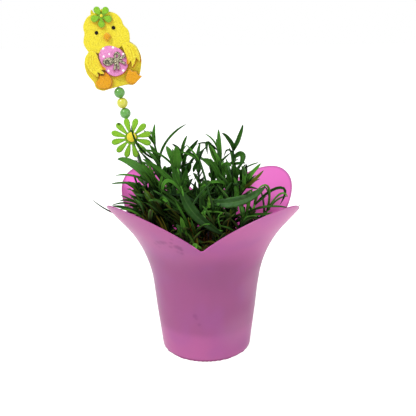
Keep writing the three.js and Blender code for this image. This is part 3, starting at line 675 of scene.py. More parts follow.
def floor_paint(settings):
    return two_tones(
        "Floor", settings.floor, scaled(settings.floor, 0.99), (8, 2), None, (0.8, 0.05),
        Specular_IOR_Level=0.1, Emission_Color=(1, 1, 1), Emission_Strength=settings.floor_glow,
    )


# Cover, grower pot and soil

COVER_SIZES = (
    "foot_radius", "corner", "cone_angle", "cone_height", "curl_radius", "widest_lean",
    "notch_length", "petal_length", "petal_rise", "petal_fullness", "petals", "turn", "dents",
)
COVER_COLUMNS = 216
COVER_ROWS = 84
SAME_POINT = 0.00002


def cover_tree():
    """The cover's outside: a grid that goes round and up, bent along the skin's path from the
    middle of the floor over the corner, the straight wall and the curl to the wavy edge."""
    build = Builder("Cover skin")
    (foot, corner, lean, height, curl, widest, notch, petal, rise, fullness, petals, turn,
     dents) = build.ask(*COVER_SIZES)
    (material,) = build.ask("material", kind="Material")
    columns, rows = build.ask("columns", "rows", kind="Int")
    grid = build.node("GeometryNodeMeshGrid", None, 1, 1, columns + 1, rows + 1)
    spot = build.node("ShaderNodeSeparateXYZ", None, build.node("GeometryNodeInputPosition"))
    around = (spot + 0.5) * math.tau
    up = spot.sibling("Y") + 0.5

    share = (around - turn) * petals / math.tau
    across = abs((share - share.floor()) * 2 - 1)
    edge = notch + (petal - notch) * (1 - across**rise).most(0) ** fullness

    sweep = math.pi / 2 - lean
    tangent = corner * (sweep / 2).sin() / (sweep / 2).cos()
    flat = foot - tangent
    path = up * (flat + corner * sweep + edge - tangent)
    bend = ((path - flat) / corner).between(0, sweep)
    past = (path - flat - corner * sweep).most(0)
    cone = height / lean.cos() - tangent
    straight = past.least(cone)
    curled = lean + ((past - cone) / curl).between(0, widest - lean)
    rest = (past - cone - curl * (widest - lean)).most(0)
    radius = (
        path.least(flat) + corner * bend.sin() + straight * lean.sin()
        + curl * (lean.cos() - curled.cos()) + rest * widest.sin()
    )
    level = (
        corner * (1 - bend.cos()) + straight * lean.cos()
        + curl * (curled.sin() - lean.sin()) + rest * widest.cos()
    )

    def wrapped(radius):
        return build.node("ShaderNodeCombineXYZ", None, radius * around.cos(), radius * around.sin(), level)

    bulge = build.noise(19, 1, wrapped(radius)).step(0.45, 0.75) * dents * straight.step(0, 0.02)
    where = wrapped(radius - bulge * past.step(0.13, 0.05))
    moved = build.node("GeometryNodeSetPosition", None, grid, Position=where)
    joined = build.node("GeometryNodeMergeByDistance", None, moved, Distance=SAME_POINT)
    build.close(joined, material)
    return build


# What is strewn: its node, its sizes, how far it is turned, and its least and greatest form.
STREWN = {
    "fibre": (
        "GeometryNodeMeshCone",
        {"Vertices": 3, "Side_Segments": 2, "Radius_Top": 0.02, "Radius_Bottom": 0.045,
         "Depth": 1.0},
        (1.35, 1.35, math.tau), (1, 1, 0.6), (1, 1, 1.4),
    ),
    "flake": (
        "GeometryNodeMeshCube", {"Size": (1, 0.8, 0.35)},
        (math.pi, math.pi, math.tau), (0.7, 0.7, 0.7), (1.2, 1.2, 1.2),
    ),
    "crumb": (
        "GeometryNodeMeshIcoSphere", {"Radius": 0.5, "Subdivisions": 2},
        (math.pi, math.pi, math.tau), (0.6, 0.5, 0.4), (1.3, 1.1, 0.9),
    ),
}
CRUMB_GRAIN = 700
CRUMB_RELIEF = 0.0009


def scatter_tree(name, kind):
    """Small grains, crumbs or fibres strewn over a surface, each turned and sized at random."""
    build = Builder(name)
    (surface,) = build.ask("surface", kind="Geometry")
    density, smallest, largest = build.ask("density", "smallest", "largest")
    (seed,) = build.ask("seed", kind="Int")
    (material,) = build.ask("material", kind="Material")
    points = build.node("GeometryNodeDistributePointsOnFaces", None, surface, Density=density, Seed=seed)
    shape_node, shape_sizes, spread, least, greatest = STREWN[kind]
    shape = build.node(shape_node, None, **shape_sizes)
    size = build.node(
        "FunctionNodeRandomValue", {"data_type": "FLOAT"}, Min_001=smallest, Max_001=largest,
        Seed=seed + 1, output="Value_001",
    )

    def any_vector(low, high, step):
        return build.node(
            "FunctionNodeRandomValue", {"data_type": "FLOAT_VECTOR"}, Min=low, Max=high,
            Seed=seed + step, output="Value",
        )

    tumble = any_vector(tuple(-s for s in spread), spread, 3)
    turned = build.node(
        "FunctionNodeRotateRotation", {"rotation_space": "LOCAL"}, points.sibling("Rotation"),
        tumble,
    )
    strewn = build.node(
        "GeometryNodeInstanceOnPoints", None, points, Instance=shape, Rotation=turned,
        Scale=build.vector("SCALE", any_vector(least, greatest, 2), Scale=size),
    )
    real = build.node("GeometryNodeRealizeInstances", None, strewn)
    if kind == "crumb":
        rough = build.node("ShaderNodeTexNoise", None, Scale=CRUMB_GRAIN, Detail=1.0, output="Color")
        shift = build.vector("SUBTRACT", rough, (0.5, 0.5, 0.5))
        push = build.vector("SCALE", shift, Scale=CRUMB_RELIEF)
        real = build.node("GeometryNodeSetPosition", None, real, Offset=push)
    build.close(real, material)
    return build


def make_cover(settings):
    sizes = {name: float(getattr(settings, name)) for name in COVER_SIZES}
    cover = cover_tree().run(
        "pot_cover", material=cover_plastic(settings), columns=COVER_COLUMNS, rows=COVER_ROWS,
        **sizes,
    )
    face_outward(cover)
    wall = cover.modifiers.new("Wall", "SOLIDIFY")
    wall.thickness = settings.wall
    wall.offset = -1
    wall.use_even_offset = True
    settle(cover)
    mark(cover.data, "inside", [looks_inward(vertex) for vertex in cover.data.vertices])
    cover.data.shade_smooth()
    cover.data.set_sharp_from_angle(angle=math.radians(50))
    place(cover, "cover", "cover")


def looks_inward(vertex):
    """Whether a point lies on the cover's inner face, and not on its rim or its outer face."""
    return -(vertex.normal.xy @ vertex.co.xy) / max(vertex.co.xy.length, MM) > 0.3


POT_SIDES = 120
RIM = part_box("grower_pot")[1].x / MM - 0.5
POT_PROFILE = [
    (0, 25), (34.6, 25), (35.6, 25.2), (36.4, 25.8), (36.8, 26.8), (43.6, 60), (50.1, 91.6),
    (50.4, 92.8), (50.8, 93), (RIM - 0.5, 93), (RIM, 93.5), (RIM + 0.2, 99), (RIM + 0.2, 99.6),
    (RIM - 0.1, 100), (RIM - 0.7, 100), (RIM - 1, 99.6), (RIM - 1.1, 94.6), (RIM - 1.6, 94.1),
    (49.9, 94.1), (49.2, 93.4), (42.6, 60), (35.8, 27.4), (35.2, 26.5), (34.2, 26.1), (0, 26.1),
]
DRAINS = 6
# Middle of a drain hole from the axis and over the floor, its radius and its cutter's depth.
DRAIN = (0.024, 0.0255, 0.004, 0.006)


def make_pot(settings):
    """A thin moulded pot with a collar, a rim that rests on the cover and holes in its floor."""
    points, faces = lathe(POT_PROFILE, POT_SIDES)
    pot = mesh_piece("plastic_pot", pot_plastic(settings), points, faces, sharp=40)
    holes = bmesh.new()
    out, level, radius, depth = DRAIN
    for i in range(DRAINS):
        turn = math.tau * (i + 0.5) / DRAINS
        bmesh.ops.create_cone(
            holes, cap_ends=True, segments=32, radius1=radius, radius2=radius, depth=depth,
            matrix=Matrix.Translation((out * math.cos(turn), out * math.sin(turn), level)),
        )
    cut(pot, holes)
    place(pot, "grower_pot", "grower_pot")


def solid_from(name, work):
    """An object from a bmesh, which is freed."""
    mesh = bpy.data.meshes.new(name)
    work.to_mesh(mesh)
    work.free()
    return new_object(name, mesh)


def cut(piece, work):
    """Cuts a bmesh from a piece."""
    cutter = solid_from("cutter", work)
    boolean = piece.modifiers.new("Cut", "BOOLEAN")
    boolean.operation = "DIFFERENCE"
    boolean.object = cutter
    boolean.solver = "EXACT"
    settle(piece)
    bpy.data.meshes.remove(cutter.data)


SOIL_TOP = 91
SOIL_RADIUS = 48.6
SOIL_RINGS = 46
SOIL_SIDES = 150
LUMP = 11


def soil_height(x, y):
    """Height of the soil's lumps, as the packed soil has them."""
    k = math.tau / LUMP
    lumps = math.sin(k * x + 1) * math.cos(k * y)
    swells = math.sin(0.45 * k * (x + y))
    return SOIL_TOP + 1.5 * (0.6 * lumps + 0.4 * swells)


def make_soil(settings):
    """Peat with its lumps and a crumbly face, and loose crumbs, bark and perlite on it."""
    profile = [(0, 26.5), (34.9, 26.5), (48.3, 88)]
    profile += [(SOIL_RADIUS * ring / SOIL_RINGS, 0) for ring in range(SOIL_RINGS, -1, -1)]
    points, faces = lathe(profile, SOIL_SIDES)
    points = np.array(points)
    top = points[:, 2] == 0
    points[top, 2] = [crumbly_height(x, y) for x, y in points[top, :2]]
    soil = mesh_piece("potting_soil", earth("Peat", settings.soil), points, faces)
    place(soil, "soil", "soil")

    work = bmesh.new()
    work.from_mesh(soil.data)
    low = [v for v in work.verts if v.co.z < 0.0865 or math.hypot(v.co.x, v.co.y) > 0.0475]
    bmesh.ops.delete(work, geom=low, context="VERTS")
    for name, tone, density, smallest, largest, seed in (
        ("soil_crumbs", settings.soil, settings.crumb_density, 0.0008, 0.0026, 3),
        ("soil_bark", settings.crumb, 0.16 * settings.crumb_density, 0.0012, 0.0042, 17),
        ("soil_perlite", settings.perlite, settings.perlite_density, 0.0012, 0.0027, 29),
    ):
        surface = bpy.data.meshes.new(name)
        work.to_mesh(surface)
        crumbs = scatter_tree(name, "crumb").run(
            name, surface, density=density, smallest=smallest, largest=largest, seed=seed,
            material=earth(name + " finish", tone, 500),
        )
        crumbs.data.shade_smooth()
        place(crumbs, "soil")
    work.free()


def crumbly_height(x, y):
    """Height of the peat, which sinks towards the pot's wall."""
    fine = noise.fractal(Vector((x, y, 3)) * 0.42, 0.7, 2.2, 4)
    edge = max(0, math.hypot(x, y) - 44) / 5
    return soil_height(x, y) + 0.9 * fine - 1.2 * edge**2


# Foliage


class Leaf:
    """A listed leaf: its place up the stem, its width, how far its face turns to the front, the points
    that pull it into its curve, and its tip. Its tone is dark at 0 and bright at 1, it is green at
    age 0 and brown at age 1, its waxy coat and a painted highlight make it bluish at
    dust 1, and its tip is painted into shade at dusk 1."""

    def __init__(self, at, width, front, *points, tone=None, age=0.0, dust=0.0, dusk=0.0):
        self.at = at
        self.width = width
        self.front = front
        self.points = points
        self.tone = tone
        self.age = age
        self.dust = dust
        self.dusk = dusk


@dataclass
class Sweep:
    """Leaves added side by side to one stem: the stretch of it that carries them, their first
    and last tip, and their number, least and greatest width and age."""

    low: float
    high: float
    first: tuple
    last: tuple
    leaves: int
    widths: tuple
    age: float


@dataclass
class Stem:
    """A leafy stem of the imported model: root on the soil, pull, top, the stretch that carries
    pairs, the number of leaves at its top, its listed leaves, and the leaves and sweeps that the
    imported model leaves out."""

    name: str
    root: tuple
    pull: tuple
    top: tuple
    pairs: tuple
    crown: int
    leaves: tuple = ()
    added: tuple = ()


STEMS = [
    Stem("left_tuft", (-30, 2), (-34, 1, 150), (-44, 2, 195), (0.35, 0.72), 0, (
        Leaf(1, 3.5, 0.6, (-45, 3, 204), (-43, 4, 213)),
        Leaf(0.99, 3, 0.6, (-47, 0, 208)),
        Leaf(0.99, 3.5, 0.6, (-47, 2, 201), (-53, 2, 208)),
        Leaf(0.82, 3, 0.5, (-36, -2, 202), (-15, -4, 214), tone=0.3),
        Leaf(0.84, 2.3, 0.8, (-54, -17, 189), (-62, -17, 203), (-62, -15, 216), tone=0.1),
        Leaf(0.8, 5.5, 0.7, (-48, -4, 196)),
        Leaf(0.66, 5, 0.4, (-46, -4, 177), (-54, -8, 184)),
    )),
    Stem("broad_pair", (-1, -29), (-16, -22, 134), (-24, -10, 176), (0.3, 0.5), 0, (
        Leaf(1, 6.5, 0.8, (-33, -10, 196), tone=0.75, dust=0.1),
        Leaf(0.99, 8, 0.9, (-24, -14, 197), tone=0.6),
        Leaf(0.98, 4, 0.5, (-28, -8, 193)),
        Leaf(0.96, 2.6, 0.3, (-40, -8, 196), (-59, -8, 191)),
        Leaf(0.76, 10, 0.9, (-15, -27, 137), (16, -42, 124), tone=0.2, dust=0.15, dusk=0.9),
        Leaf(0.72, 4.5, 0.4, (-35, -21, 180), (-38, -22, 155), tone=0.75),
        Leaf(0.56, 4.5, 0.6, (-26, -24, 142), (-37, -22, 153)),
    ), (
        Leaf(0.75, 4.4, 0.7, (-38, -18, 178), (-54, -14, 186), tone=0.35),
        Leaf(0.3, 2.8, 0.6, (-20, -34, 140), (-26, -32, 154), tone=0.5),
        Leaf(0.12, 2.2, 0.5, (-12, -36, 126), (-15, -38, 139), tone=0.8, age=1),
        Leaf(0.78, 7, 0.9, (-26, -14, 168), (-27, -12, 178), tone=0.3),
        Leaf(0.8, 6, 0.8, (-15, -16, 167), (-16, -14, 177), tone=0.15),
        Sweep(0.3, 0.6, (-46, -22, 172), (-46, -24, 152), 11, (1.8, 3.4), 0.05),
        Sweep(0.12, 0.35, (-38, -28, 157), (-40, -30, 139), 10, (1.4, 2.8), 0.5),
        Leaf(0.2, 5.6, 0.9, (-20, -36, 126), (-25, -38, 133), tone=0.4, dust=0.3),
        Leaf(0.25, 3.4, 0.8, (-16, -36, 130), (-22, -34, 139), tone=0.5),
        Leaf(0.22, 3, 0.8, (-10, -38, 124), (-12, -36, 137), tone=0.3),
    )),
    Stem("upright_pair", (-8, 8), (-12, 6, 140), (-20, 4, 182), (0.4, 0.8), 1, (
        Leaf(1, 3.5, 0.6, (-20, 5, 192), (-15, 6, 202)),
        Leaf(0.98, 4.5, 0.7, (-13, 3, 188), (-5, 2, 199), tone=0.15),
    ), (
        Leaf(0.9, 4.4, 0.7, (-18, -2, 176), (-15, -4, 190), tone=0.15),
        Leaf(0.84, 5, 0.7, (-13, -2, 168), (-12, -4, 182), tone=0.35),
        Leaf(0.8, 5, 0.7, (-19, -2, 166), (-20, -4, 179), tone=0.2),
        Leaf(0.7, 4.2, 0.7, (-15, -6, 160), (-17, -6, 174), tone=0.6),
    )),
    Stem("front_bud", (12, -27), (10, -28, 142), (-4, -8, 182), (0.3, 0.5), 1, (
        Leaf(1, 2.2, 0.3, (-16, -8, 197)),
        Leaf(0.99, 2.8, 0.3, (-13, -9, 189), (-22, -12, 191)),
        Leaf(0.6, 9.5, 0.9, (30, -36, 146), (53, -24, 162), tone=0.25, dust=0.35),
        Leaf(0.58, 3.2, 0.7, (-9, -28, 139), (2, -34, 124), (16, -36, 126), tone=1),
    ), (
        Leaf(0.66, 3.6, 0.8, (4, -24, 148), (8, -26, 152), tone=1, age=0.25),
        Leaf(0.64, 3.2, 0.8, (3, -26, 142), (5, -30, 147), tone=1, age=0.2),
        Leaf(0.3, 1.5, 0.8, (20, -34, 126), (4, -32, 138), (17, -30, 141), tone=0.9),
        Leaf(0.97, 5, 0.6, (-7, -7, 179), (-10, -6, 171), tone=0.1),
        Leaf(0.93, 1.3, 0.5, (-10, 2, 161), tone=0),
        Leaf(0.9, 1.3, 0.5, (-6, 2, 160), tone=0),
    )),
    Stem("tall_middle", (16, 2), (16, 1, 140), (13, 0, 189), (0.35, 0.7), 0, (
        Leaf(0.86, 4.6, 0.6, (13, 2, 208)),
        Leaf(0.87, 6.5, 0.8, (9, -2, 184), (4, -4, 196)),
        Leaf(1, 2.2, 0.4, (4, -3, 200), (-7, -6, 196)),
        Leaf(0.98, 2, 0.3, (9, 3, 200), (1, 6, 203)),
        Leaf(0.98, 2.5, 0.5, (11, 4, 199)),
        Leaf(0.8, 4, 0.6, (20, -4, 182), (24, -8, 176)),
    ), (
        Leaf(0.8, 4.2, 0.6, (8, -2, 193), (-1, -4, 208), (3, -6, 187), tone=0.1),
        Leaf(0.6, 5.6, 0.8, (12, -6, 184), (-3, -8, 183), tone=0.3),
        Leaf(0.55, 4.4, 0.7, (18, -2, 165), (17, 0, 176), tone=0.6),
    )),
    Stem("tall_right", (26, 9), (27, 8, 140), (26, 6, 188), (0.35, 0.75), 0, (
        Leaf(1, 5, 0.6, (24, 5, 198), (16, 4, 204), tone=0.15),
        Leaf(0.99, 4.6, 0.6, (32, 7, 196), (35, 8, 211), tone=0.2),
        Leaf(0.97, 2, 0.3, (20, 3, 193), (18, 2, 183)),
        Leaf(0.93, 6, 0.6, (40, 2, 190), (31, -4, 174), tone=0.2),
        Leaf(0.86, 3.5, 0.6, (32, 3, 176), (37, 2, 177)),
    ), (
        Leaf(0.58, 3.4, 0.6, (16, -16, 172), (-4, -10, 158), tone=0.8),
        Leaf(0.45, 5, 0.7, (23, 2, 160), (17, 2, 178), tone=0.7),
        Leaf(0.5, 4.6, 0.6, (28, 0, 165), (24, 4, 184), tone=0.45),
        Leaf(0.55, 4, 0.6, (32, -2, 165), (29, 4, 173), tone=0.3),
    )),
    Stem("right", (18, -17), (21, -14, 134), (37, 0, 159), (0.35, 0.75), 1, (
        Leaf(1, 4, 0.6, (38, 2, 176)),
        Leaf(0.98, 4.5, 0.6, (42, 3, 166), (51, 4, 176)),
        Leaf(0.88, 4.4, 0.5, (44, -1, 158), (53, -2, 171), tone=0.4, age=0.65),
    ), (
        Leaf(0.6, 4.2, 0.6, (31, -10, 156), (26, -4, 166), tone=0.55),
        Leaf(0.8, 4.2, 0.6, (39, -6, 164), (34, -2, 173), tone=0.65),
        Leaf(0.08, 2.2, 0.5, (17, -32, 122), (23, -24, 140), tone=0.9, age=0.9),
    )),
    Stem("right_rim", (36, 4), (42, 5, 112), (57, 6, 128), (0.5, 0.7), 0, (
        Leaf(1, 2.6, 0.4, (63, 8, 147), (53, 8, 155)),
        Leaf(0.98, 2.3, 0.4, (66, 9, 143), (77, 10, 143)),
        Leaf(0.9, 2.4, 0.3, (72, 0, 126), (87, -4, 139)),
        Leaf(0.95, 2, 0.3, (52, 2, 150)),
    ), (
        Leaf(0.98, 3, 0.6, (60, -4, 150), (59, -8, 168), (46, -8, 153), tone=1),
        Leaf(0.99, 2.6, 0.5, (62, -6, 146), (70, -12, 158), (74, -14, 149), tone=0.9),
        Leaf(0.9, 1.8, 0.4, (54, -4, 140), (50, -5, 154), tone=0.1),
    )),
    Stem("hook", (30, -10), (34, -6, 118), (46, -2, 139), (0.45, 0.75), 1, (
        Leaf(1, 3.4, 0.5, (62, 0, 158), (82, -2, 160), (68, -4, 139)),
        Leaf(0.95, 3, 0.5, (50, 2, 152)),
    ), (
        Leaf(1, 1.8, 0.4, (50, -6, 144), (56, -8, 149), tone=0.2),
    )),
    Stem("front_rim", (27, -27), (30, -26, 118), (38, -21, 138), (0.45, 0.75), 0, (
        Leaf(1, 2.8, 0.4, (53, -26, 147), (73, -33, 145), tone=0.25),
        Leaf(0.94, 3, 0.5, (46, -26, 136), (62, -34, 141), tone=0.15),
        Leaf(0.9, 3.4, 0.6, (42, -18, 158)),
    )),
    Stem("left_big", (-22, -25), (-36, -24, 128), (-42, -12, 160), (0.35, 0.7), 0, (
        Leaf(1, 8.6, 0.8, (-52, -14, 173), (-64, -19, 188), (-75, -20, 187), tone=0.7, dust=0.25),
        Leaf(0.97, 3, 0.3, (-60, -10, 173), (-79, -10, 170), tone=0.8),
        Leaf(0.99, 4.6, 0.6, (-47, -11, 172), (-55, -12, 182)),
        Leaf(0.9, 5, 0.5, (-36, -18, 172)),
    ), (
        Leaf(0.97, 4.6, 0.7, (-47, -18, 176), (-55, -18, 182), tone=0.6),
        Leaf(0.75, 3.8, 0.8, (-38, -26, 160), (-29.4, -30, 146), tone=0.75),
        Sweep(0.6, 0.95, (-52, -16, 184), (-54, -18, 172), 7, (2.4, 4.4), 0.1),
        Sweep(0.2, 0.6, (-52, -20, 168), (-54, -22, 150), 12, (1.6, 3.2), 0.5),
        Leaf(0.1, 1.8, 0.6, (-34, -32, 126), (-48, -26, 146), tone=0.8, age=0.9),
    )),
    Stem("left", (-36, -8), (-44, -6, 124), (-58, -2, 151), (0.45, 0.8), 1, (
        Leaf(1, 2.2, 0.4, (-72, -4, 162)),
        Leaf(0.97, 2, 0.3, (-70, -7, 157)),
        Leaf(0.94, 3, 0.5, (-60, -10, 146), (-68, -12, 154)),
        Leaf(0.99, 2, 0.4, (-62, 0, 160), (-64, 0, 168)),
    ), (
        Leaf(0.9, 2, 0.4, (-60, -8, 156), (-62, -6, 170), tone=0.1),
        Leaf(0.3, 1.5, 0.5, (-59, -14, 156), (-63, -8, 171), tone=0.3),
        Leaf(0.55, 1.6, 0.5, (-58, -12, 161), (-70, -10, 163), tone=0.5, age=0.3),
        Leaf(0.3, 1.8, 0.5, (-57, -14, 152), (-68, -10, 159), tone=0.8, age=0.4),
        Leaf(0.35, 2.2, 0.5, (-58, -16, 145), (-67, -12, 153), tone=0.7, age=0.3),
        Sweep(0.15, 0.75, (-52, -12, 172), (-53, -14, 150), 12, (1.5, 3), 0.4),
    )),
    Stem("left_low", (-35, -17), (-42, -16, 118), (-56, -14, 142), (0.45, 0.8), 0, (
        Leaf(1, 3, 0.4, (-66, -14, 150), (-76, -15, 148)),
        Leaf(0.96, 2.2, 0.3, (-70, -18, 150), (-82, -22, 146)),
        Leaf(0.97, 3, 0.5, (-60, -16, 152)),
    ), (
        Sweep(0.15, 0.7, (-52, -18, 158), (-56, -20, 145), 10, (1.4, 2.8), 0.6),
        Leaf(0.85, 2, 0.5, (-64, -16, 146), (-69, -16, 143), tone=0.6, age=0.4),
        Leaf(0.6, 1.8, 0.5, (-60, -18, 144), (-65, -20, 140), tone=0.8, age=0.5),
    )),
    Stem("left_rim", (-32, -25), (-40, -25, 116), (-54, -25, 134), (0.5, 0.8), 1, (
        Leaf(1, 2.6, 0.4, (-64, -28, 145), (-75, -30, 145)),
    ), (
        Leaf(0.1, 1.8, 0.5, (-34, -34, 125), (-42, -32, 139), tone=0.8, age=1),
        Leaf(0.02, 1.8, 0.6, (-29, -36, 122), (-39, -30, 138), tone=0.9, age=0.9),
        Sweep(0.2, 0.9, (-54, -28, 148), (-60, -30, 139), 10, (1.3, 2.4), 0.9),
    )),
    Stem("left_notch", (-40, 8), (-46, 6, 116), (-57, 2, 130), (0.6, 0.8), 1, (
        Leaf(1, 2.3, 0.4, (-80, -2, 124), (-102, -3, 146)),
    )),
    Stem("low_left", (-16, -35), (-17, -33, 102), (-18, -30, 111), (0.5, 0.5), 2, (
        Leaf(1, 7, 0.8, (-24, -31, 117), (-22, -28, 127)),
    ), (
        Leaf(0.9, 5, 0.8, (-18, -36, 130), (-21, -36, 139), tone=1),
    )),
    Stem("low_right", (7, -36), (8, -34, 100), (8, -30, 108), (0.5, 0.5), 2, (
        Leaf(1, 6.5, 0.8, (12, -30, 116), (6, -27, 124)),
    )),
    Stem("notch", (-6, -43), (-7, -45, 99), (-9, -48, 106), (0.5, 0.5), 2, (
        Leaf(1, 5, 0.7, (-12, -52, 120), (-3, -55, 117), tone=1),
    ), (
        Leaf(0.8, 3.4, 0.7, (-12, -50, 112), (-8, -55, 112), tone=1),
        Leaf(0.95, 6.4, 0.9, (-10, -58, 125), (-7, -70, 122), tone=1),
        Leaf(0.9, 4.6, 0.9, (-12, -56, 121), (-14, -62, 122), tone=0.8),
        Leaf(0.05, 1.8, 0.6, (-4, -38, 118), (-14, -24, 137), tone=0.9, age=0.8),
    )),
]

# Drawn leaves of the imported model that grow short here, by their stem and order, with the share
# that is left.
TRIMMED = {
    ("front_bud", 6): 0.35, ("front_bud", 7): 0.35, ("right", 6): 0.5,
    ("tall_middle", 6): 0.6, ("hook", 4): 0.6, ("plain_11", 5): 0.5,
}
# Tones of single stems. The others draw theirs.
STEM_TONES = {"front_bud": 0.1, "broad_pair": 0.9, "hook": 0.9}

UP = np.array([0.0, 0.0, 1.0])
VIEWPOINT = np.array([0.0, -593.0, 320.0])
GOLDEN = math.pi * (3 - math.sqrt(5))
WORD = 0xFFFFFFFF
PLAIN_STEMS = 13
PAIR_SPACING = 13
TRIES = 9
LAST_LEAF = 0.985
STEM_RADII = (1.4, 0.9)
SUNK = 12
SAME_SPOT = 0.02
# Leaves above this height get no smaller ones between them.
ADDED_TOP = 140
# Leaves grow old, and stand in tufts, below this height over the soil.
OLD_REACH = 45


def draw(*keys):
    """A repeatable draw between 0 and 1 for a list of whole numbers."""
    value = 0x9E3779B9
    for key in keys:
        value = (value ^ key) * 0x85EBCA6B & WORD
        value ^= value >> 13
        value = value * 0xC2B2AE35 & WORD
        value ^= value >> 16
    return value / 2**32


def pick_between(low, high, *keys):
    return low + (high - low) * draw(*keys)


def bloom_and_highlight_of(keys):
    """Most drawn leaves have little waxy coat and painted highlight, and a few have much."""
    return 0.5 * draw(*keys, 12) ** 3


def swing(attempt, step):
    return (1 if attempt % 2 else -1) * math.ceil(attempt / 2) * step


def unit(vectors):
    return vectors / np.linalg.norm(vectors, axis=-1, keepdims=True)


class Bezier:
    """A curve with three or four points."""

    def __init__(self, *points):
        self.points = [np.asarray(p, float) for p in points]

    def at(self, share):
        """The points at one share of the way or at many."""
        t = np.atleast_1d(np.asarray(share, float))[:, None]
        rows = [np.repeat(p[None], len(t), 0) for p in self.points]
        while len(rows) > 1:
            rows = [(1 - t) * low + t * high for low, high in zip(rows, rows[1:])]
        return rows[0] if np.ndim(share) else rows[0][0]

    def buried(self):
        """The stem's end in the soil, in line with its start."""
        return self.points[0] - SUNK * unit(self.at(1e-4) - self.points[0])

    def length(self):
        spots = self.at(np.linspace(0, 1, 201))
        return float(np.linalg.norm(np.diff(spots, axis=0), axis=1).sum())

    def shortened(self, reach):
        """The first part of a curve with three points."""
        base, middle, tip = self.points
        first = base + (middle - base) * reach
        second = middle + (tip - middle) * reach
        return Bezier(base, first, first + (second - first) * reach)


def plain_stem(index):
    """One of the stems that fill the middle and the back, on a spiral."""
    turn = GOLDEN * index + 0.6
    out = 7.2 * math.sqrt(index + 0.5)
    x = -5 + 1.35 * out * math.cos(turn)
    y = 17 + 0.85 * out * math.sin(turn)
    height = pick_between(136, 172, 900, index)
    rise = height - SOIL_TOP
    lean = (0.22 + 0.006 * abs(x)) * rise
    top = (x + lean * (x / 40), y + lean * ((y - 4) / 34), height)
    pull = (x + 0.3 * (top[0] - x), y + 0.3 * (top[1] - y), SOIL_TOP + 0.6 * rise)
    return Stem(f"plain_{index + 1}", (x, y), pull, top, (0.4, 0.85), 3)


def facing_of(base, tip, front):
    """Where the face of a blade looks: up and back over its stem, or more to the front."""
    chord = unit(tip - base)
    level = np.cross(chord, UP)
    up = unit(np.cross(level, chord)) if level @ level > 1e-6 else np.array([0.0, -1.0, 0.0])
    sight = unit(VIEWPOINT - base)
    return unit(up + (sight - up) * front)


def chosen_blade(leaf, curve, attempt):
    """Curve, width and facing of a listed leaf, slid along the line of sight."""
    base = curve.at(min(leaf.at, LAST_LEAF))
    points = []
    for i, point in enumerate(np.array(leaf.points, float)):
        sight = point - VIEWPOINT
        slide = swing(attempt, 3.5) * (i + 1) / len(leaf.points)
        points.append(point + sight * (slide / sight[1]))
    tip = points[-1]
    if len(points) == 1:
        points.insert(0, (base + tip) / 2 + 1.5 * UP)
    return Bezier(base, *points), leaf.width, facing_of(base, tip, leaf.front)


def drawn_blade(base, turn, climb, length, arch, front, droop=0.0):
    """Curve and facing of a leaf that leaves its stem at a turn and a climb, and arches over."""
    out = unit(np.array([math.cos(turn), math.sin(turn), 0]) + 0.012 * base * (1, 1, 0))
    chord = out * math.cos(climb) + UP * math.sin(climb)
    up = UP * math.cos(climb) - out * math.sin(climb)
    tip = base + chord * length - UP * length * droop
    middle = base + chord * 0.45 * length + up * (length * arch)
    return Bezier(base, middle, tip), facing_of(base, tip, front)


def plain_blade(curve, at, azimuth, crown, keys, attempt):
    """Curve, width and facing of a leaf of a pair or of a crown."""
    wander = 0.25 if attempt == 0 else 0.9
    turn = azimuth + pick_between(-wander, wander, *keys, attempt, 1)
    length = pick_between(26, 44, *keys, 2) * (0.62 if crown else 1) * (1 - 0.04 * attempt)
    climbs = (0.8, 1.35) if crown else (0.35, 0.95)
    climb = pick_between(*climbs, *keys, attempt, 3) + 0.04 * attempt
    width = pick_between(3.6, 6, *keys, 4)
    path, facing = drawn_blade(
        curve.at(at), turn, climb, length, pick_between(0.06, 0.26, *keys, 5),
        pick_between(0, 0.45, *keys, 6),
    )
    return path, width, facing


def blade_makers(stem, index, curve):
    """The leaves of one stem as functions of the attempt, with their places on the stem."""
    makers = [(leaf.at, partial(chosen_blade, leaf, curve)) for leaf in stem.leaves]
    first = pick_between(0, math.pi, index, 7)
    low, high = stem.pairs
    pairs = math.floor((high - low) * curve.length() / PAIR_SPACING + 0.5)
    for pair in range(pairs + 1):
        at = low + (high - low) * (pair / pairs if pairs else 0)
        for side in (0, 1):
            turn = first + math.pi / 2 * pair + math.pi * side
            makers.append((at, partial(plain_blade, curve, at, turn, False, (index, pair, side))))
    for i in range(stem.crown):
        turn = first + math.tau * (i + 0.4) / stem.crown
        at = LAST_LEAF - 0.03 * i
        makers.append((at, partial(plain_blade, curve, at, turn, True, (index, 50 + i, 0))))
    return makers


class Corners:
    """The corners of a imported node, to find where its stem and its leaves were placed."""

    def __init__(self, name):
        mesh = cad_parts[name].data
        self.tree = KDTree(len(mesh.vertices))
        for i, vertex in enumerate(mesh.vertices):
            self.tree.insert(vertex.co / MM, i)
        self.tree.balance()

    def holds(self, point):
        return self.tree.find(Vector(point))[2] < SAME_SPOT


def packed_stem(stem, corners):
    """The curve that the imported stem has, by its buried end."""
    root = np.array([*stem.root, soil_height(*stem.root)])
    for attempt in range(TRIES):
        pull = np.array(stem.pull, float) + (0, swing(attempt, 3), 0)
        curve = Bezier(root, pull, stem.top)
        start = curve.buried()
        side = unit(np.cross((0, 1, 0), unit(root - start)))
        if corners.holds(start + STEM_RADII[0] * side):
            return curve
    raise RuntimeError(f"The stem {stem.name} isn't where the packed model has it")


# Inside of the cover, so that an added leaf bends along it and doesn't pass through.


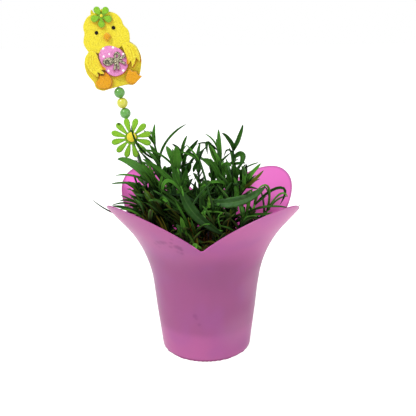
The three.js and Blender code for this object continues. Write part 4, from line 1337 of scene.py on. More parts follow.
def cover_path(settings):
    """Distances along the cover's skin from its foot, with its radii and heights there."""
    lean = settings.cone_angle
    curl_radius = settings.curl_radius / MM
    cone = settings.cone_height / MM / math.cos(lean)
    along = np.arange(0, 176, 0.5)
    straight = np.minimum(along, cone)
    past = along - straight
    curl = np.minimum(past, (settings.widest_lean - lean) * curl_radius)
    turned = lean + curl / curl_radius
    rest = past - curl
    radii = (
        settings.foot_radius / MM + straight * math.sin(lean)
        + curl_radius * (math.cos(lean) - np.cos(turned)) + rest * np.sin(turned)
    )
    heights = (
        straight * math.cos(lean)
        + curl_radius * (np.sin(turned) - math.sin(lean)) + rest * np.cos(turned)
    )
    return along, radii, heights


def cover_edge(settings, azimuth):
    """Distance along the skin from the foot to the cover's edge."""
    share = (azimuth - settings.turn) / (math.tau / settings.petals)
    across = np.abs(2 * (share - np.floor(share)) - 1)
    fullness = (1 - across**settings.petal_rise) ** settings.petal_fullness
    low, high = settings.notch_length / MM, settings.petal_length / MM
    return low + (high - low) * fullness


class Room:
    """The room inside the cover."""

    margin = 2.2
    over_edge = 2

    def __init__(self, settings):
        self.settings = settings
        self.along, self.radii, self.heights = cover_path(settings)

    def keep(self, points):
        """Points that would be in the cover's wall or outside it come in."""
        points = np.array(points, float)
        reach = np.hypot(points[:, 0], points[:, 1])
        azimuth = np.arctan2(points[:, 1], points[:, 0])
        edge = np.interp(cover_edge(self.settings, azimuth), self.along, self.heights)
        wall = np.interp(points[:, 2], self.heights, self.radii) - self.margin
        inside = points[:, 2] < edge + self.over_edge
        scale = np.where(inside & (reach > wall), wall / np.maximum(reach, 1e-6), 1)
        points[:, :2] *= scale[:, None]
        return points


# Blades: where the rings of one stand along it, and the points of a ring across its upper and
# its under face.

FINE = (
    np.array([0.02, 0.07, 0.14, 0.22, 0.31, 0.41, 0.51, 0.61, 0.71, 0.8, 0.88, 0.94, 0.98]),
    (-1, -0.62, -0.22, 0, 0.22, 0.62, 1), (0.62, 0.14, -0.14, -0.62),
)
PLAIN = (
    np.array([0.03, 0.12, 0.24, 0.38, 0.52, 0.66, 0.79, 0.9, 0.97]),
    (-1, -0.45, 0, 0.45, 1), (0.5, 0, -0.5),
)
# A narrow leaf is folded more than a broad one.
FOLD_WIDTHS = (4, 8)
FOLDS = (0.85, 0.45)
STEM_SIDES = 8
STEM_STEPS = 30


def blade_width(t, root=0.42):
    """Width of a blade along its length, as a share of its widest."""
    opening = np.sin(math.pi / 2 * np.minimum(1, t / 0.4))
    return (root + (1 - root) * opening) * (1 - t**3.4) ** 0.66


# Openings that daylight shows through: a point that the line of sight passes, and a radius.
DAYLIGHT = (
    (-34, 0, 176, 6), (-2, 0, 170, 7), (-9, 0, 172, 5), (10, 0, 184, 5), (21, 0, 168, 2),
    (-24, 0, 138, 3), (20, 0, 188, 3), (-9, 0, 164, 4), (-5, 0, 155, 2.5), (2, 0, 165, 3),
    (29, 0, 173, 2), (49, 0, 143, 5), (50, 0, 132, 5), (44, 0, 139, 3), (63, 0, 137, 5),
    (30, 0, 131, 3), (77, 0, 141, 5), (-62, -10, 166, 4), (-66, -10, 156, 4),
)
SHORTEST = 0.3


def short_of_gaps(path):
    """A leaf that would cross an opening is cut short of it by its nearer part."""
    t = np.linspace(0, 1, 25)
    off = path.at(t) - VIEWPOINT
    reach = 1.0
    for *centre, radius in DAYLIGHT:
        sight = unit(np.array(centre, float) - VIEWPOINT)
        apart = np.linalg.norm(off - (off @ sight)[:, None] * sight, axis=1)
        hit = np.nonzero(apart < radius)[0]
        if len(hit) and hit[0] > 0:
            reach = min(reach, t[hit[0]])
    return path if reach == 1.0 else path.shortened(max(reach, SHORTEST))


class Growth:
    """Points, faces and attributes of the leaves and stems that make one piece."""

    names = ("across", "along", "tone", "age", "back", "shelter", "dust")

    def __init__(self):
        self.points = []
        self.faces = []
        self.spines = []
        self.values = {name: [] for name in self.names}
        self.stem_faces = 0

    def add(self, rings, start, end, **values):
        """Closed rings of equal length between two poles, with values for all of it or for the
        points of its rings."""
        count, sides, _ = rings.shape
        before = sum(map(len, self.points))
        self.faces += solid_faces(sides, count, before)
        self.points.append(np.vstack((start, rings.reshape(-1, 3), end)))
        for name in self.names:
            value = np.asarray(values.get(name, 0.0))
            low, high = (value, value) if value.ndim == 0 else (0, name == "along")
            flat = np.broadcast_to(value, (count, sides)).ravel()
            self.values[name].append(np.concatenate(([low], flat, [high])))

    def blade(self, path, width, facing, keys, tone, age, dust, dusk=None, room=None, form=FINE):
        """A folded leaf with a keel along its back, a slight twist and a wavy edge. With no dusk
        it takes all the painted shade of the place that it grows in."""
        t, upper, under = form
        u = np.array(upper + under)
        back = np.repeat((0, 1), (len(upper), len(under)))
        spots = path.at(np.concatenate(([0.0], t, [1.0])))
        if room is not None:
            spots = room.keep(spots)
        way = unit(np.gradient(spots, axis=0)[1:-1])
        side = unit(np.cross(way, facing))
        normal = np.cross(side, way)
        t = t[:, None]
        twist = pick_between(-0.5, 0.5, *keys, 31) * t**2
        side, normal = (
            side * np.cos(twist) + normal * np.sin(twist),
            normal * np.cos(twist) - side * np.sin(twist),
        )
        half = 0.5 * width * blade_width(t)
        wave = 0.05 * width * np.sin(t * pick_between(9, 15, *keys, 32) + keys[0])
        channel = (np.interp(width, FOLD_WIDTHS, FOLDS) - 0.3 * t) * half
        lift = channel * np.abs(u) ** 1.25 + wave * (t > 0.1) * np.abs(u) ** 3
        lift -= np.minimum(0.12, 0.1 * half) * np.exp(-(u / 0.14) ** 2)
        thick = 0.3 + 0.16 * (1 - np.abs(u)) + 0.42 * (1 - t) * np.exp(-(u / 0.2) ** 2)
        lift = lift - back * thick * np.minimum(1, 0.35 + 0.6 * half)
        self.spines.append((len(self.points), spots, len(u), dusk))
        self.add(
            ring_points(spots[1:-1], side, normal, half * u, lift), spots[0], spots[-1],
            across=u, along=t, back=back, tone=tone, age=age, dust=dust,
        )

    def tube(self, curve, joints, tone):
        """A stem that goes down into the soil, with a swelling at each pair of leaves."""
        share = np.linspace(0, 1, STEM_STEPS)
        line = np.vstack((curve.buried(), curve.at(share)))
        share = np.concatenate(([0], share))
        radius = np.interp(share, (0, 1), STEM_RADII)
        for joint in joints:
            radius += 0.3 * radius * np.exp(-(((share - joint) / 0.012) ** 2))
        way = unit(np.gradient(line, axis=0))
        side = unit(np.cross((0, 1, 0), way))
        a = round_angles(STEM_SIDES)
        radius = radius[:, None]
        rings = ring_points(line, side, np.cross(way, side), radius * np.cos(a), radius * np.sin(a))
        self.add(rings, line[0], line[-1] + 0.3 * way[-1], along=share[:, None], tone=tone)
        self.stem_faces = len(self.faces)

    def piece(self, name, materials):
        """One mesh piece. Its stem comes first in the face list and takes the second material."""
        made = mesh_piece(name, materials[0], np.vstack(self.points), self.faces)
        made.data.materials.append(materials[1])
        index = np.arange(len(self.faces)) < self.stem_faces
        made.data.polygons.foreach_set("material_index", index.astype(int))
        for key, rows in self.values.items():
            mark(made.data, key, np.concatenate(rows))
        return made


def ring_points(spots, side, front, across, lift):
    """Rings of points round a line, each across to its side and lifted to its front."""
    return spots[:, None] + side[:, None] * across[..., None] + front[:, None] * lift[..., None]


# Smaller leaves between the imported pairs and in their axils: how steeply they climb, their
# lengths and their widths.
BETWEEN = ((0.5, 1.2), (20, 38), (2.4, 4.6))
TUFT = ((0.7, 1.35), (9, 20), (2, 3.4))
TUFT_LEAVES = 4


def grow_leaf(growth, base, turn, kind, age, room, keys):
    """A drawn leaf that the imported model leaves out."""
    climbs, lengths, widths = kind
    path, facing = drawn_blade(
        base, turn, pick_between(*climbs, *keys, 3), pick_between(*lengths, *keys, 2),
        pick_between(0.05, 0.28, *keys, 5), pick_between(0, 0.4, *keys, 6),
        pick_between(0, 0.25, *keys, 8),
    )
    growth.blade(short_of_gaps(path), pick_between(*widths, *keys, 4), facing, keys,
                 draw(*keys, 10), age, bloom_and_highlight_of(keys), room=room, form=PLAIN)


def added_leaves(growth, stem, index, curve, room, spacing):
    """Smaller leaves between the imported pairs, and tufts of young ones in their axils."""
    low, high = stem.pairs
    low = max(0.14, low - 0.22)
    pairs = int((high - low) * curve.length() / spacing)
    first = pick_between(0, math.pi, index, 7) + math.pi / 4
    for pair in range(pairs + 1):
        base = curve.at(low + (high - low) * (pair + 0.5) / (pairs + 1))
        if base[2] > ADDED_TOP:
            continue
        low_down = max(0, 1 - (base[2] - SOIL_TOP) / OLD_REACH)
        for side in (0, 1):
            keys = (index, 200 + pair, side)
            turn = first + 1.9 * pair + math.pi * side + pick_between(-0.4, 0.4, *keys, 1)
            age = low_down * pick_between(0.2, 1, *keys, 9)
            grow_leaf(growth, base, turn, BETWEEN, age, room, keys)
            for tuft in range(round(TUFT_LEAVES * low_down)):
                more = (*keys, 40 + tuft)
                beside = turn + pick_between(-0.7, 0.7, *more, 1)
                grow_leaf(growth, base, beside, TUFT, 0, room, more)


def swept_leaves(growth, sweep, curve, room, *order):
    """The leaves of one sweep, from the highest on the stem to the lowest."""
    first, last = np.array((sweep.first, sweep.last), float)
    for i in range(sweep.leaves):
        keys = (*order, i)
        share = (i + draw(*keys, 1)) / sweep.leaves
        base = curve.at(sweep.high + (sweep.low - sweep.high) * share)
        stray = np.array([pick_between(-4, 4, *keys, k) for k in (2, 3, 4)])
        tip = first + (last - first) * share + stray
        tip = base + (tip - base) * pick_between(0.7, 1.05, *keys, 11)
        span = np.linalg.norm(tip - base)
        middle = (base + tip) / 2 + UP * span * pick_between(0.02, 0.2, *keys, 5)
        facing = facing_of(base, tip, pick_between(0.3, 0.8, *keys, 6))
        age = sweep.age * pick_between(0.4, 1.3, *keys, 9)
        growth.blade(Bezier(base, middle, tip), pick_between(*sweep.widths, *keys, 7), facing,
                     keys, draw(*keys, 10), age, bloom_and_highlight_of(keys), room=room)


# Painted shade on the leaves: the more leaf points lie within a reach above a point, the deeper its shade,
# and drawn leaves grow darker lower down.
SHELTER_UP = np.array([-2.0, -2.0, 6.0])
SHELTER_REACH = 9
# Leaf points within that reach: where the painted shade starts, and where it is full.
SHELTERED = (11, 42)
SUNLIT = 142
SHADE_DEPTH = 42
DEEPEST = 0.9


def paint_leaf_shade(growths):
    """Marks how deep each part of a leaf lies under and among the others, as painted shade."""
    spots = np.vstack([spine[::2] for growth in growths for _, spine, _, _ in growth.spines])
    others = KDTree(len(spots))
    for i, spot in enumerate(spots):
        others.insert(spot, i)
    others.balance()
    for growth in growths:
        for row, spine, around, dusk in growth.spines:
            count = len(spine)
            near = [len(others.find_range(Vector(spot + SHELTER_UP), SHELTER_REACH))
                    for spot in spine[::2]]
            near = np.interp(np.arange(count), np.arange(0, count, 2), near)
            depth = np.interp(near, SHELTERED, (0, 1))
            if dusk is None:
                low_down = np.clip((SUNLIT - spine[:, 2]) / SHADE_DEPTH, 0, DEEPEST)
                depth = np.maximum(depth, low_down)
            else:
                depth = np.maximum(0.5 * depth, dusk * np.linspace(0, 1, count))
            growth.values["shelter"][row] = np.repeat(depth, [1, *[around] * (count - 2), 1])


def grow_stem(stem, index, room, spacing):
    """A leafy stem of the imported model, with its own leaves made fine and more between."""
    corners = Corners("stem_" + stem.name)
    curve = packed_stem(stem, corners)
    kept = []
    for order, (at, maker) in enumerate(blade_makers(stem, index, curve)):
        for attempt in range(TRIES):
            path, width, facing = maker(attempt)
            if corners.holds(path.points[-1]):
                kept.append((at, order, path, width, facing))
                break
    growth = Growth()
    joints = sorted({round(at, 3) for at, *_ in kept if at < LAST_LEAF})
    growth.tube(curve, joints, STEM_TONES.get(stem.name, 0.6 * draw(index, 60)))
    for _, order, path, width, facing in kept:
        keys = (index, order, 70)
        age = max(0, 0.8 - (path.at(0.5)[2] - SOIL_TOP) / OLD_REACH) * draw(*keys, 9)
        if order < len(stem.leaves):
            leaf = stem.leaves[order]
            tone = draw(*keys, 10) if leaf.tone is None else leaf.tone
            growth.blade(path, width, facing, keys, tone, max(age, leaf.age), leaf.dust, leaf.dusk)
            continue
        path = short_of_gaps(path)
        if (stem.name, order) in TRIMMED:
            path = path.shortened(TRIMMED[stem.name, order])
        growth.blade(path, width, facing, keys, draw(*keys, 10), age, bloom_and_highlight_of(keys))
    for order, added in enumerate(stem.added):
        if isinstance(added, Sweep):
            swept_leaves(growth, added, curve, room, index, 400 + order)
        else:
            growth.blade(*chosen_blade(added, curve, 0), (index, order, 80), added.tone,
                         added.age, added.dust, added.dusk, room)
    added_leaves(growth, stem, index, curve, room, spacing)
    return growth


def make_foliage(settings, cover_settings):
    room = Room(cover_settings)
    materials = (leaf_skin(settings), stem_skin(settings))
    stems = STEMS + [plain_stem(i) for i in range(PLAIN_STEMS)]
    growths = [grow_stem(stem, i, room, settings.spacing) for i, stem in enumerate(stems)]
    paint_leaf_shade(growths)
    for stem, growth in zip(stems, growths):
        node = "stem_" + stem.name
        place(growth.piece("leafy_" + node, materials), "foliage", node)


# Chick, daisy and beads on their wire. Their pieces are drawn as seen from the front: across from
# the wire, and up along it from the soil. They stand in front of the wire, each "back" from it.

PICK_ROOT = (-38, 0, 92)
PICK_LEAN = math.radians(13)
WIRE_RADIUS = 0.9
WIRE_ENDS = (-38, 186)
FELT = 2.6
GLUE = 0.25
BACKING = WIRE_RADIUS + GLUE
FRONT = BACKING + FELT + GLUE
TOP = FRONT + FELT + GLUE
WING = FELT + 1.4
PETAL_FELT = 2
# How far the cuts for the pieces in front stay inside their outlines.
TUCK = 0.7
SIDES = ("left", "right")

# Whether an outline is rounded, and its points.
OUTLINES = {
    "body": (True, [
        (-15, 193.5), (-19.5, 189), (-22, 183), (-22, 175), (-18.5, 167), (-18, 162), (-13, 158.5),
        (-7, 158.5), (2, 158.6), (9, 158.4), (14, 157.2), (19.5, 161), (25, 172), (26.5, 179.5),
        (25, 187), (22, 191), (17, 196), (14, 203), (-11, 203),
    ]),
    "head": (True, [
        (-14.5, 191.6), (-17, 199), (-16, 203.5), (-14, 207.5), (-13.5, 213), (-9.5, 218.5), (-4, 221),
        (4, 221.5), (10.5, 219.8), (16, 216.5), (18.8, 211.5), (19.5, 206.5), (22, 202), (22, 197),
        (19.8, 191.6), (13, 190.4), (8, 189), (-4, 189), (-9.5, 190.4),
    ]),
    "wing_left": (False, [
        (-10.3, 192.6), (-14.8, 192.9), (-18.4, 189.4), (-20, 184.5), (-18.9, 179), (-16.2, 174.3),
        (-12.6, 170.4), (-12.2, 173), (-13.3, 176.2), (-10, 173), (-6.6, 171.9), (-7.6, 174.2),
        (-10.2, 177), (-6.8, 175.4), (-3.8, 175.5), (-6.2, 178), (-7.9, 181.3), (-8.4, 185.5),
        (-8.9, 189.9),
    ]),
    "wing_right": (False, [
        (13.6, 192.2), (19.5, 192.9), (23.6, 189.5), (25.6, 184.5), (25.7, 178.5), (25, 174.4),
        (23.8, 176.6), (22.8, 180), (21.2, 176), (18.6, 173), (17.2, 171.7), (18, 176.1),
        (18, 180), (16.6, 176), (13.6, 174.6), (13.9, 177.4), (15.1, 180.3), (14.7, 184.6),
        (14.3, 188.2),
    ]),
    "foot_left": (False, [
        (-17, 166.5), (-15.5, 162), (-10, 159.8), (-5.5, 160), (-2.5, 165), (-3.3, 170), (-6, 174),
        (-8.5, 170.5), (-11.5, 172), (-13.5, 168.5),
    ]),
    "foot_right": (False, [
        (10.5, 166.5), (9.3, 163), (11.5, 159), (15.5, 158), (19.5, 160.2), (24, 163), (20.2, 163.8),
        (19.5, 168), (16.3, 168), (14.5, 171.5),
    ]),
    "beak": (False, [(4.6, 204.5), (7.3, 200.8), (3.4, 197.5), (0.7, 201.9)]),
    "egg": (True, [
        (-7.6, 184), (-7, 189), (-4, 193), (1.5, 194.5), (7.5, 192.2), (12, 187.5), (14.6, 181.5),
        (14.5, 175.5), (11.5, 171), (7, 168.4), (1.5, 168), (-3.3, 171), (-6.5, 177.5),
    ]),
    "tuft": (False, [
        (-5.1, 215), (-5.2, 219.9), (-4.8, 223), (-3.3, 225.2), (-2.5, 222), (-0.9, 220.4),
        (2.4, 219.9), (4.1, 223.4), (5.4, 223.2), (5.1, 219), (5, 215),
    ]),
}

# Grooves between the feathers of the wings, each from its top down to a notch.
FEATHERS = {
    "left": [
        ((-15, 189), (-17.4, 183), (-15.6, 176.4)), ((-13.2, 189), (-15.2, 182), (-13.3, 176.4)),
        ((-11.4, 188), (-12.8, 182.5), (-10.2, 177.4)), ((-10, 186), (-10.2, 182), (-8, 177.6)),
    ],
    "right": [
        ((16.4, 188), (17.6, 184), (18, 179)), ((18.6, 190), (20.3, 185), (20, 177)),
        ((20.8, 189), (22.8, 184), (22.8, 179.4)), ((22.8, 187), (24.4, 182), (24.4, 177)),
    ],
}

# The bow's three loops and four tails: whether a ribbon is a loop, and its middle line.
RIBBONS = (
    (True, ((-2.6, 181.4), (-0.6, 182.1), (1.8, 181.6), (1, 180.4), (-0.8, 180.1), (-2.2, 180.5))),
    (True, (
        (-4.6, 181.8), (-2, 183.2), (1, 183), (4.6, 181.4), (1.4, 179.2), (-1.4, 178.8),
        (-3.6, 179.8),
    )),
    (True, ((5.6, 181.6), (5.8, 184.6), (7.4, 186.2), (9.2, 185.6), (9.2, 183.2), (7.6, 181.6))),
    (False, ((7, 181.2), (10.6, 181.4), (14, 182.6))),
    (False, ((7, 180.6), (9.8, 178.6), (12.2, 176.2))),
    (False, ((6.2, 180.2), (6.4, 176.4), (5.6, 173))),
    (False, ((5.4, 180.2), (3.8, 176.6), (2.2, 173.4))),
)
RIBBON = (1.9, 0.8)
SMOOTHNESS = 6

# Petals: shares of their reach, and of their half width there.
NARROW_PETAL = ((0.31, 0.26), (0.42, 0.46), (0.62, 0.76), (0.82, 0.94), (0.94, 0.7), (1, 0.22))
ROUND_PETAL = ((0.24, 0.28), (0.4, 0.62), (0.58, 0.94), (0.78, 1), (0.92, 0.7), (1, 0.22))
# Flowers: centre, number, reach, half width and first turn of their petals, and their form.
DAISY = ((-0.6, 113), 12, 17.9, 2.9, 0, NARROW_PETAL)
HEAD_FLOWER = ((3.8, 217.5), 5, 8.9, 2.8, math.radians(39), ROUND_PETAL)
# Round pieces: centre and radius.
DAISY_CENTRE = ((0.3, 114.2), 4.3)
HEAD_FLOWER_CENTRE = ((4.2, 218), 1.3)
DAISY_STAIN = (-7.4, 128)
STAIN_REACH = 2.2
EYES = ((-3.9, 205.9), (10.9, 206.5))
EGG_DOTS = ((-2.2, 192.3), (6.1, 191.3), (1.5, 186.8), (-3.6, 186), (13, 184), (9.2, 171), (-3, 173.8))
KNOT = (5.9, 180.9)
BEADS = (134.9, 144.1, 153.3)
BEAD_RADIUS = 4.7
BEAD_HOLE = 1.25
BEAD_SIDES = 48


def pick_matrix():
    """From the pick's own drawing, across, towards the back and up the wire, to the part."""
    return Matrix.Translation(PICK_ROOT) @ Matrix.Rotation(-PICK_LEAN, 4, "Y")


def in_place(piece):
    """Puts a piece that was made in the pick's drawing, in metres, where it belongs."""
    piece.data.transform(Matrix.Scale(MM, 4) @ pick_matrix() @ Matrix.Scale(1 / MM, 4))


def rounded(points, steps=SMOOTHNESS):
    """A closed curve through points, as Catmull and Rom draw it."""
    points = np.array(points, float)
    made = []
    for i in range(len(points)):
        a, b, c, d = (points[(i + k) % len(points)] for k in (-1, 0, 1, 2))
        for t in np.arange(steps) / steps:
            made.append(0.5 * (
                2 * b + (c - a) * t + (2 * a - 5 * b + 4 * c - d) * t**2
                + (3 * b - a - 3 * c + d) * t**3
            ))
    return np.array(made)


def softened(points, passes=2):
    """A drawn outline with its corners cut round."""
    points = np.array(points, float)
    for _ in range(passes):
        after = np.roll(points, -1, 0)
        points = np.stack((0.78 * points + 0.22 * after, 0.22 * points + 0.78 * after), 1)
        points = points.reshape(-1, 2)
    return points


def outline_of(name):
    is_round, points = OUTLINES[name]
    return rounded(points) if is_round else softened(points)


def narrowed(points):
    """An outline that is smaller all round."""
    after = np.roll(points, -1, 0)
    way = unit(unit(after - points) + unit(points - np.roll(points, 1, 0)))
    area = np.sum(points[:, 0] * after[:, 1] - points[:, 1] * after[:, 0])
    out = np.stack((way[:, 1], -way[:, 0]), 1) * (1 if area > 0 else -1)
    return points - TUCK * out


def flower_outline(centre, petals, reach, half_width, turn, form):
    """Round-ended petals that narrow to their roots."""
    stations = [(out, -side) for out, side in form] + list(form[::-1])
    points = []
    for angle in turn + round_angles(petals):
        along = np.array([math.cos(angle), math.sin(angle)])
        across = np.array([-along[1], along[0]])
        points += [along * out * reach + across * side * half_width for out, side in stations]
    return softened(np.array(points) + centre, 1)


def disc_outline(centre, radius):
    angles = round_angles(40)
    return radius * np.stack((np.cos(angles), np.sin(angles)), 1) + centre


def prism(outline, back, thickness):
    """A bmesh of a flat piece of felt in the pick's drawing, in metres."""
    work = bmesh.new()
    corners = [work.verts.new((x * MM, -back * MM, up * MM)) for x, up in outline]
    face = work.faces.new(corners)
    made = bmesh.ops.extrude_face_region(work, geom=[face])
    moved = [item for item in made["geom"] if isinstance(item, bmesh.types.BMVert)]
    bmesh.ops.translate(work, verts=moved, vec=(0, -thickness * MM, 0))
    bmesh.ops.triangulate(work, faces=work.faces)
    bmesh.ops.recalc_face_normals(work, faces=work.faces)
    return work


GROOVE_WIDTH = 0.4
GROOVE_DEPTH = 0.45
GROOVE_SHADE = 0.22
MAT_DEPTH = 0.07


def groove_depth(point, grooves):
    """How deep the nearest drawn groove is at a point across and up."""
    least = 9.0
    for a, b, c in grooves:
        for low, high in ((a, b), (b, c)):
            low, high = np.array(low), np.array(high)
            way = high - low
            t = min(1, max(0, (point - low) @ way / (way @ way)))
            least = min(least, float(np.hypot(*(point - low - t * way))))
    return math.exp(-((least / GROOVE_WIDTH) ** 2))


def shade_beside(points, shades):
    """Painted shade beside what lies on a piece of felt. Each shade has an outline, the height
    below which it is full, the height above which there is none, and its strength."""
    made = np.zeros(len(points))
    for outline, low, high, strength in shades:
        apart = np.min(np.linalg.norm(points[:, None] - outline[None], axis=2), axis=1)
        share = strength * np.clip((high - points[:, 1]) / (high - low), 0, 1)
        close = 0.7 * np.exp(-((apart / 0.9) ** 2)) + 0.3 * np.exp(-apart / 2.2)
        made = np.maximum(made, share * close)
    return made


def felt_piece(name, outline, back, thickness, voxel, cuts=(), grooves=(), crown=0.0, shades=()):
    """A cut felt piece: soft edges, a matted face, and what its neighbours need cut away."""
    piece = solid_from("felt_" + name, prism(outline, back, thickness))
    for shape, cut_back, cut_thickness in cuts:
        cut(piece, prism(narrowed(shape), cut_back - GLUE, cut_thickness + 2 * GLUE))
    grain = piece.modifiers.new("Grain", "REMESH")
    grain.mode = "VOXEL"
    grain.voxel_size = voxel
    soft = piece.modifiers.new("Soft", "SMOOTH")
    soft.factor = 0.5
    soft.iterations = 2
    settle(piece)
    mesh = piece.data
    middle = np.mean(outline, axis=0)
    reach = np.max(np.linalg.norm(outline - middle, axis=1))
    normals = [tuple(v.normal) for v in mesh.vertices]
    # Painted shade beside the pieces that lie on this one, and in its grooves, goes into its groove
    # attribute.
    depth = shade_beside(np.array([(v.co.x, v.co.z) for v in mesh.vertices]) / MM, shades)
    for i, vertex in enumerate(mesh.vertices):
        spot = vertex.co / MM
        push = MAT_DEPTH * noise.fractal(spot * 1.1, 0.8, 2.1, 3)
        flat = np.array(spot.xz)
        if normals[i][1] > 0.5:
            depth[i] = 0
        elif normals[i][1] < -0.5:
            if grooves:
                groove = groove_depth(flat, grooves)
                push -= GROOVE_DEPTH * groove
                depth[i] = max(depth[i], GROOVE_SHADE * groove)
            far = min(1, math.hypot(*(flat - middle)) / reach)
            push += crown * (1 - far**2)
        vertex.co = vertex.co + Vector(normals[i]) * push * MM
    mark(mesh, "groove", depth)
    in_place(piece)
    mesh.shade_smooth()
    return piece


FIBRES = 400000
FIBRE_LENGTHS = (0.0005, 0.0013)


def make_felt(settings):
    """Every felt piece, and then the loose fibres that stand off each."""
    yellow = (felt("Yellow felt", settings.yellow, settings.yellow_shade), "yellow_felt")
    # The body is the yellow felt painted darker, for the shade it lies in behind the head and the wings.
    shaded_body_yellow = felt("Deeper yellow felt", scaled(settings.yellow, 0.9), settings.yellow_shade)
    stain = pick_matrix() @ Vector((DAISY_STAIN[0], -BACKING - FELT, DAISY_STAIN[1]))
    lime = (felt("Lime felt", settings.lime, settings.lime_shade, (stain, STAIN_REACH)), "lime_felt")
    orange = (felt("Orange felt", settings.orange, settings.orange_shade), "orange_felt")
    pink = (felt("Pink felt", settings.pink, settings.pink_shade), "pink_felt")

    daisy = flower_outline(*DAISY)
    daisy_centre = disc_outline(*DAISY_CENTRE)
    flower = flower_outline(*HEAD_FLOWER)
    flower_centre = disc_outline(*HEAD_FLOWER_CENTRE)
    beak = outline_of("beak")
    egg = (outline_of("egg"), FRONT, FELT)
    wings = [(outline_of("wing_" + side), FRONT, WING) for side in SIDES]
    feet = [(outline_of("foot_" + side), FRONT, FELT) for side in SIDES]
    # Painted shade round the egg and under the bow, on the pieces below them.
    round_egg = (egg[0], 178, 194, 1)
    bow = (np.vstack([ribbon_path(*ribbon) for ribbon in RIBBONS]) - (0.4, 1), 190, 200, 0.9)

    pieces = [
        ("chick_body", (shaded_body_yellow, "yellow_felt"), (outline_of("body"), BACKING, FELT), dict(
            shades=[round_egg, *((wing[0], 176, 184, 1) for wing in wings),
                    *((foot[0], 162, 170, 1) for foot in feet)])),
        ("tuft", yellow, (outline_of("tuft"), BACKING, FELT), {}),
        ("chick_head", yellow, (outline_of("head"), FRONT, FELT), dict(
            cuts=[egg, *wings], crown=0.5,
            shades=[round_egg, (beak + (-0.5, -0.8), 200, 203, 0.5),
                    (flower - (0.4, 0.8), 214, 218, 0.45)])),
        ("egg", pink, egg, dict(crown=0.5, shades=[bow])),
    ]
    for side, wing, foot in zip(SIDES, wings, feet):
        pieces += [
            ("wing_" + side, yellow, wing, dict(
                cuts=[egg], grooves=FEATHERS[side], crown=0.3, shades=[round_egg])),
            ("foot_" + side, orange, foot, dict(
                cuts=[egg, wing], crown=0.3, shades=[round_egg, (wing[0], 174, 180, 1)])),
        ]
    pieces += [
        ("beak", orange, (beak, TOP, FELT), {}),
        ("daisy", lime, (daisy, BACKING, FELT), dict(
            shades=[(daisy_centre, 200, 201, 1), (daisy, 98, 136, 0.75)])),
        ("head_flower", lime, (flower, TOP, PETAL_FELT), dict(
            shades=[(flower_centre, 230, 231, 0.6), (flower, 212, 228, 0.3)])),
        ("daisy_centre", yellow, (daisy_centre, FRONT, 1.6), dict(crown=0.8)),
        ("head_flower_centre", yellow, (flower_centre, TOP + PETAL_FELT + GLUE, 0.9),
         dict(crown=0.35)),
    ]
    made = []
    for name, (finish, slot), layer, more in pieces:
        piece = felt_piece(name, *layer, settings.voxel, **more)
        piece.data.materials.append(finish)
        place(piece, slot, name)
        made.append((piece, finish, slot))
    for i, (piece, finish, slot) in enumerate(made):
        fibres = scatter_tree(piece.name + " fibres", "fibre").run(
            piece.name + "_fibres", piece.data.copy(), density=FIBRES, seed=50 + i,
            smallest=FIBRE_LENGTHS[0], largest=FIBRE_LENGTHS[1], material=finish,
        )
        place(fibres, slot)


def bead_profile(steps=16):
    """A round bead with a hole whose edges are turned in softly."""
    start = math.asin(BEAD_HOLE / BEAD_RADIUS)
    angles = np.linspace(start, math.pi - start, steps)
    profile = [(BEAD_RADIUS * math.sin(a), -BEAD_RADIUS * math.cos(a)) for a in angles]
    end = profile[-1][1]
    return profile + [(BEAD_HOLE - 0.12, end - 0.25), (BEAD_HOLE - 0.12, -end + 0.25)]


def make_beads(settings):
    green = (painted_wood("Green bead", settings.green_bead), "green_bead")
    yellow = (painted_wood("Yellow bead", settings.yellow_bead), "yellow_bead")
    profile = bead_profile()
    faces = band_faces(BEAD_SIDES, len(profile), closed=True)
    for i, height in enumerate(BEADS):
        finish, slot = (green, yellow)[i % 2]
        points = [
            (r * math.cos(a), r * math.sin(a), height + z)
            for r, z in profile for a in round_angles(BEAD_SIDES)
        ]
        bead = mesh_piece(f"wooden_bead_{i + 1}", finish, points, faces, sharp=60)
        in_place(bead)
        place(bead, slot, f"bead_{i + 1}")


def make_wire(settings):
    """A straight wire, cut square at the top and to a blunt point in the soil."""
    low, high = WIRE_ENDS
    profile = [(0, low), (0.35, low + 0.1), (WIRE_RADIUS, low + 2.4)]
    profile += [(WIRE_RADIUS, z) for z in np.linspace(low + 8, high - 0.2, 24)]
    profile += [(WIRE_RADIUS - 0.15, high), (0, high)]
    wire = mesh_piece("steel_wire", steel(settings), *lathe(profile, 24), sharp=40)
    in_place(wire)
    place(wire, "wire", "wire")


def dome_piece(name, finish, slot, centre, back, radius, height, *nodes):
    """A small round dome that faces the front."""
    profile = [(0, 0), (radius * 0.9, 0), (radius, 0.15 * height)]
    profile += [
        (radius * math.cos(a), height * (0.25 + 0.75 * math.sin(a)))
        for a in np.linspace(0, math.pi / 2, 12)[1:-1]
    ]
    points, faces = lathe([*profile, (0, height)], 40)
    turn = Matrix.Translation((centre[0], -back, centre[1])) @ Matrix.Rotation(math.pi / 2, 4, "X")
    dome = mesh_piece(name, finish, [turn @ Vector(p) for p in points], faces, sharp=60)
    in_place(dome)
    place(dome, slot, *nodes)


def ribbon_path(is_loop, points):
    """The smooth middle line of a ribbon."""
    if is_loop:
        return rounded(points)
    ends = [2 * np.array(points[0]) - points[1], *points, 2 * np.array(points[-1]) - points[-2]]
    return rounded(ends)[SMOOTHNESS: -2 * SMOOTHNESS + 1]


